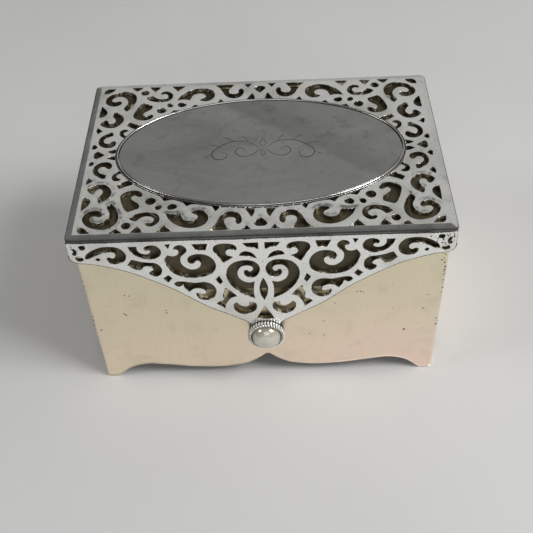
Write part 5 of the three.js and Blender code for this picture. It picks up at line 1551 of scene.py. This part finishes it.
# hinges: leaves with rounded edges, split knuckles and two rivets each
def make_hinge(c, lid):
    lo, hi = mmbox(("hinge_lid_leaf_" if lid else "hinge_body_leaf_") + ("left" if c < 0 else "right"))
    ay, az = 42.6, 66.2
    b = Build()

    def barrel(x0, x1):
        prof = [(0.75, x0 + 0.1), (0.85, x0), (1.25, x0), (1.4, x0 + 0.15), (1.4, x1 - 0.15), (1.25, x1), (0.85, x1), (0.75, x1 - 0.1)]
        n = 40
        rows = []
        for i, (r, x) in enumerate(prof):
            P = [(x, ay + r * math.cos(2 * math.pi * k / n), az + r * math.sin(2 * math.pi * k / n)) for k in range(n)]
            rows.append((P, r))
        nrm = {0: (-1, 0), 1: (-1, 0), 2: (-0.5, 0.8), 3: (0, 1), 4: (0, 1), 5: (0.5, 0.8), 6: (1, 0), 7: (1, 0)}
        for i in range(8):
            j = (i + 1) % 8
            A, B = rows[i][0], rows[j][0]

            def nn(ii, k):
                if i == 7:
                    return (0, -math.cos(2 * math.pi * k / n), -math.sin(2 * math.pi * k / n))
                a, d = nrm[ii]
                return (a, d * math.cos(2 * math.pi * k / n), d * math.sin(2 * math.pi * k / n))
            for k in range(n):
                l = (k + 1) % n
                b.face([A[k], A[l], B[l], B[k]], [nn(i, k), nn(i, l), nn(j, l), nn(j, k)], 0)

    if lid:
        y0, y1 = 42.5, 43.0
        barrel(c - 4, c + 4)
        out = [(c - 10, 68.1), (c - 4, 68.1), (c - 4, 67.2), (c + 4, 67.2), (c + 4, 68.1), (c + 10, 68.1), (c + 10, 72.0), (c + 9.2, 72.8), (c - 9.2, 72.8), (c - 10, 72.0)]
        rz = 70.6
    else:
        y0, y1 = 41.0, 41.5
        barrel(c - 10, c - 4.3)
        barrel(c + 4.3, c + 10)
        out = [(c - 9.2, 58.6), (c + 9.2, 58.6), (c + 10, 59.4), (c + 10, 65.1), (c + 4.3, 65.1), (c + 4.3, 64.3), (c - 4.3, 64.3), (c - 4.3, 65.1), (c - 10, 65.1), (c - 10, 59.4)]
        rz = 61.3
    plate(b, densify(np.array(out), 2.0), [], y1 - y0, 0.12, lambda u, v, h: (2 * c - u, y0 + h, v), lambda a, cc, d: (-a, d, cc), mats=(0, 0, 0))
    for rx in (c - 6.2, c + 6.2):
        n = 20
        prof = [(0, 0.42), (0.6, 0.36), (0.95, 0.18), (1.05, 0.0), (1.05, -0.2), (0, -0.2)]
        for i in range(len(prof) - 1):
            (r0, h0), (r1, h1) = prof[i], prof[i + 1]
            for k in range(n):
                a0, a1 = 2 * math.pi * k / n, 2 * math.pi * (k + 1) / n

                def pt(r, h, a):
                    return (rx + r * math.cos(a), y1 + h, rz + r * math.sin(a))

                def nm(r, a, i=i):
                    if i == 4:
                        return (0, -1, 0)
                    if i == 3:
                        return (math.cos(a), 0, math.sin(a))
                    return (math.cos(a) * r / 1.3, 1 - r / 1.6, math.sin(a) * r / 1.3)
                q = [pt(r0, h0, a0), pt(r1, h1, a0), pt(r1, h1, a1), pt(r0, h0, a1)]
                nq = [nm(r0, a0), nm(r1, a0), nm(r1, a1), nm(r0, a1)]
                if r0 == 0:
                    q, nq = q[:3], nq[:3]
                elif r1 == 0:
                    q, nq = [q[0], q[1], q[3]], [nq[0], nq[1], nq[3]]
                b.face(q, nq, 0)
    return b.obj(("hinge_lid_leaf_" if lid else "hinge_case_leaf_") + ("left_v" if c < 0 else "right_v"), [MAT["steel"]])


for c in (-32, 32):
    s = "left" if c < 0 else "right"
    on(make_hinge(c, True), "lid", "hinge_lid_leaf_" + s)
    on(make_hinge(c, False), "case", "hinge_body_leaf_" + s)
for n in ("hinge_pin_left", "hinge_pin_right", "knob_rivet"):
    bpy.data.objects[n].data.materials[0] = MAT["steel"]
# the floor plate takes the dark brassy material too: painted shade under and inside the case
bpy.data.objects["floor_plate"].data.materials[0] = MAT["gold"]

# ---------------------------------------------------------------- the case and its lining
on(make_case(), "case", "body_shell")
pits = [(-61.3, 53.4, 0.22),
        (-61.3, 50.7, 0.26),
        (-61.2, 47.9, 0.2),
        (-61.4, 45.6, 0.24),
        (-61.2, 34.8, 0.24),
        (-61.4, 32.7, 0.3),
        (-61.8, 29.3, 0.36),
        (-59.5, 27.5, 0.34),
        (-48.3, 45.7, 0.3),
        (-46.8, 45.3, 0.26),
        (-49.9, 36.0, 0.33),
        (-49.3, 35.2, 0.36),
        (-34.8, 37.2, 0.3),
        (-34.9, 35.8, 0.34),
        (-54.2, 40.5, 0.16),
        (-44.4, 30.2, 0.16),
        (55.5, 34.2, 0.34),
        (56.6, 41.4, 0.26),
        (49.6, 22.9, 0.46),
        (54.5, 26.0, 0.2),
        (44.9, 34.9, 0.2),
        (20.6, 28.8, 0.28),
        (24.4, 38.4, 0.26),
        (20.7, 20.8, 0.26),
        (15.6, 22.0, 0.24),
        (33.1, 44.0, 0.4),
        (31.9, 44.1, 0.3),
        (34.0, 43.8, 0.26),
        (60.7, 28.5, 0.36),
        (60.9, 25.2, 0.42),
        (61.3, 26.8, 0.26),
        (59.5, 58.4, 0.3),
        (60.5, 57.2, 0.36),
        (61.1, 54.9, 0.44),
        (61.1, 53.3, 0.34),
        (61.0, 51.5, 0.34),
        (61.0, 48.5, 0.36),
        (61.1, 46.7, 0.22),
        (61.2, 44.5, 0.44),
        (61.1, 42.2, 0.26),
        (61.0, 38.2, 0.16),
        (39.6, 15.8, 0.16)]
items = [((x, BY0 + 0.005 + max(0, abs(x) - BX + 1.4) ** 2 * 0.36, z), (max(0, abs(x) - BX + 1.4) * math.copysign(0.6, x), -1, 0), r) for x, z, r in pits]
rnd = random.Random(11)
for sx in (-1, 1):
    for k in range(6):
        items.append(((sx * (BX - 0.04), rnd.uniform(-36, 36), rnd.uniform(16, 60)), (sx, 0, 0), rnd.uniform(0.25, 0.42)))
z = 66.5
while z > 46:
    items.append(((BX - 1.0 - rnd.uniform(0, 0.7), BY0 + 0.01 + 0.05, z), (0.25, -1, 0), rnd.uniform(0.14, 0.30)))
    z -= rnd.uniform(0.6, 1.8)
for k in range(7):
    items.append(((rnd.uniform(-56, 56), BY1 - 0.04, rnd.uniform(14, 55)), (0, 1, 0), rnd.uniform(0.25, 0.42)))
on(lens_mesh("case_pits", items, [MAT["pit"]], 0.03), "case", None)

spots = []
for k in range(34):
    spots.append(((61.9 - abs(rnd.gauss(0, 2.2)), FY0 - 0.02, rnd.uniform(68.6, 73.2)), (0, -1, 0), rnd.uniform(0.10, 0.34)))
for k in range(12):
    spots.append(((-61.9 + abs(rnd.gauss(0, 2.0)), FY0 - 0.02, rnd.uniform(68.6, 73.2)), (0, -1, 0), rnd.uniform(0.10, 0.26)))
for k in range(30):
    x = rnd.uniform(-60, 60)
    spots.append(((x, FY0 - 0.02, rnd.uniform(72.9, 73.7)), (0, -1, 0), rnd.uniform(0.08, 0.2)))
on(lens_mesh("flap_corrosion_spots", spots, [MAT["tarnish"]], 0.03), "lid", None)


def pad(name, node, axis, side, puff, r=0.5):
    lo, hi = mmbox(node)
    g = 0.04
    lo = [a + g for a in lo]
    hi = [a - g for a in hi]
    n = [max(3, int((hi[i] - lo[i]) / 2.2)) for i in range(3)]
    n[axis] = 2
    u, v = [i for i in range(3) if i != axis]

    def swell(q):
        # the visible face is crowned, and its edge pulled in; the back stays flat on the metal
        f = (q[axis] - lo[axis]) / (hi[axis] - lo[axis])
        f = f if side > 0 else 1 - f
        eu = min(q[u] - lo[u], hi[u] - q[u])
        ev = min(q[v] - lo[v], hi[v] - q[v])
        edge = 1 - math.exp(-max(0, min(eu, ev)) / 2.2)
        w = noise.noise(Vector((q[0] * 0.09, q[1] * 0.09, q[2] * 0.09 + 3)))
        o = [0, 0, 0]
        o[axis] = side * f * (-puff * (1 - edge) - puff * 0.35 * (0.5 + w) * edge)
        return o
    o = rounded_slab(name, lo, hi, r, [MAT["velvet"]], n, swell)
    on(o, "case", node)
    return o


pad("pad_floor", "lining_floor", 2, 1, 0.7, 0.7)
pad("pad_front", "lining_front", 1, 1, 0.35)
pad("pad_back", "lining_back", 1, -1, 0.35)
pad("pad_left", "lining_left", 0, 1, 0.35)
pad("pad_right", "lining_right", 0, -1, 0.35)

# ---------------------------------------------------------------- floor, light, camera
def floor_mat():
    m, N, L, p = new_mat("floor_pale", (0.61, 0.612, 0.612), 0.0, 0.62)
    n = noise_tex(N, L, coords(N, L), 6, 3)
    L.new(ramp(N, L, n, [(0.3, (0.585, 0.59, 0.59)), (0.7, (0.63, 0.632, 0.63))]), p.inputs["Base Color"])
    return m


bm = bmesh.new()
bmesh.ops.create_grid(bm, x_segments=8, y_segments=8, size=1.6)
me = bpy.data.meshes.new("floor")
bm.to_mesh(me)
bm.free()
me.materials.append(floor_mat())
floor = bpy.data.objects.new("floor", me)
scene.collection.objects.link(floor)
floor.location = (0, 0.3, -0.0002)

world = bpy.data.worlds.new("studio")
scene.world = world
world.use_nodes = True
WN, WL = world.node_tree.nodes, world.node_tree.links
bg = WN["Background"]
tc = WN.new("ShaderNodeTexCoord")
sep = WN.new("ShaderNodeSeparateXYZ")
WL.new(tc.outputs["Generated"], sep.inputs["Vector"])
elev = WN.new("ShaderNodeValToRGB")
e = elev.color_ramp.elements
stops = ELEV
while len(e) < len(stops):
    e.new(0.5)
for i, (pos, v) in enumerate(stops):
    e[i].position = pos
    e[i].color = (v * 0.99, v, v * 1.0, 1)
WL.new(sep.outputs["Z"], elev.inputs["Fac"])
half = WN.new("ShaderNodeMath")
half.operation = "MULTIPLY_ADD"
half.inputs[1].default_value = 0.5
half.inputs[2].default_value = 0.5
WL.new(sep.outputs["X"], half.inputs[0])
side = WN.new("ShaderNodeValToRGB")
e = side.color_ramp.elements
while len(e) < len(SIDE):
    e.new(0.5)
for i, (pos, v) in enumerate(SIDE):
    e[i].position = (pos + 1) / 2
    e[i].color = (v, v, v, 1)
WL.new(half.outputs[0], side.inputs["Fac"])
mul = WN.new("ShaderNodeMath")
mul.operation = "MULTIPLY"
WL.new(elev.outputs["Color"], mul.inputs[0])
WL.new(side.outputs[0], mul.inputs[1])
WL.new(mul.outputs[0], bg.inputs["Strength"])
bg.inputs["Color"].default_value = (1, 0.995, 0.985, 1)


def area_light(name, pos, target, size, power, colour=(1, 1, 1), shape="RECTANGLE", size_y=None):
    l = bpy.data.lights.new(name, "AREA")
    l.shape = shape
    l.size = size
    l.size_y = size_y or size
    l.energy = power
    l.color = colour
    o = bpy.data.objects.new(name, l)
    o.location = pos
    o.rotation_euler = (Vector(target) - Vector(pos)).to_track_quat("-Z", "Y").to_euler()
    scene.collection.objects.link(o)
    return o


for a in LIGHTS:
    area_light(**a)

cam_data = bpy.data.cameras.new("camera")
cam = bpy.data.objects.new("camera", cam_data)
scene.collection.objects.link(cam)
scene.camera = cam
PITCH, YAW, ROLL_DEG, CX, CY, CZ, FOCAL = 46.4188, 1.7231, -3.0738, 7.1965, -238.6397, 266.7859, 864.2866
a, b_, c_ = math.radians(PITCH), math.radians(YAW), math.radians(ROLL_DEG)
fwd = Vector((0, math.cos(a), -math.sin(a)))
right = Vector((1, 0, 0))
up = right.cross(fwd)
R = Matrix.Rotation(b_, 3, "Z")
fwd, right, up = R @ fwd, R @ right, R @ up
r2 = math.cos(c_) * right + math.sin(c_) * up
u2 = -math.sin(c_) * right + math.cos(c_) * up
M = Matrix((r2, u2, -fwd)).transposed().to_4x4()
M.translation = Vector((CX / 1000, (CY + SY) / 1000, CZ / 1000))
cam.matrix_world = M
cam_data.sensor_width = 36
cam_data.lens = FOCAL * 36 / 533
cam_data.clip_start = 0.01
cam_data.clip_end = 50

scene.view_settings.view_transform = "Standard"
scene.view_settings.look = "None"
scene.view_settings.exposure = 0
scene.view_settings.gamma = 1
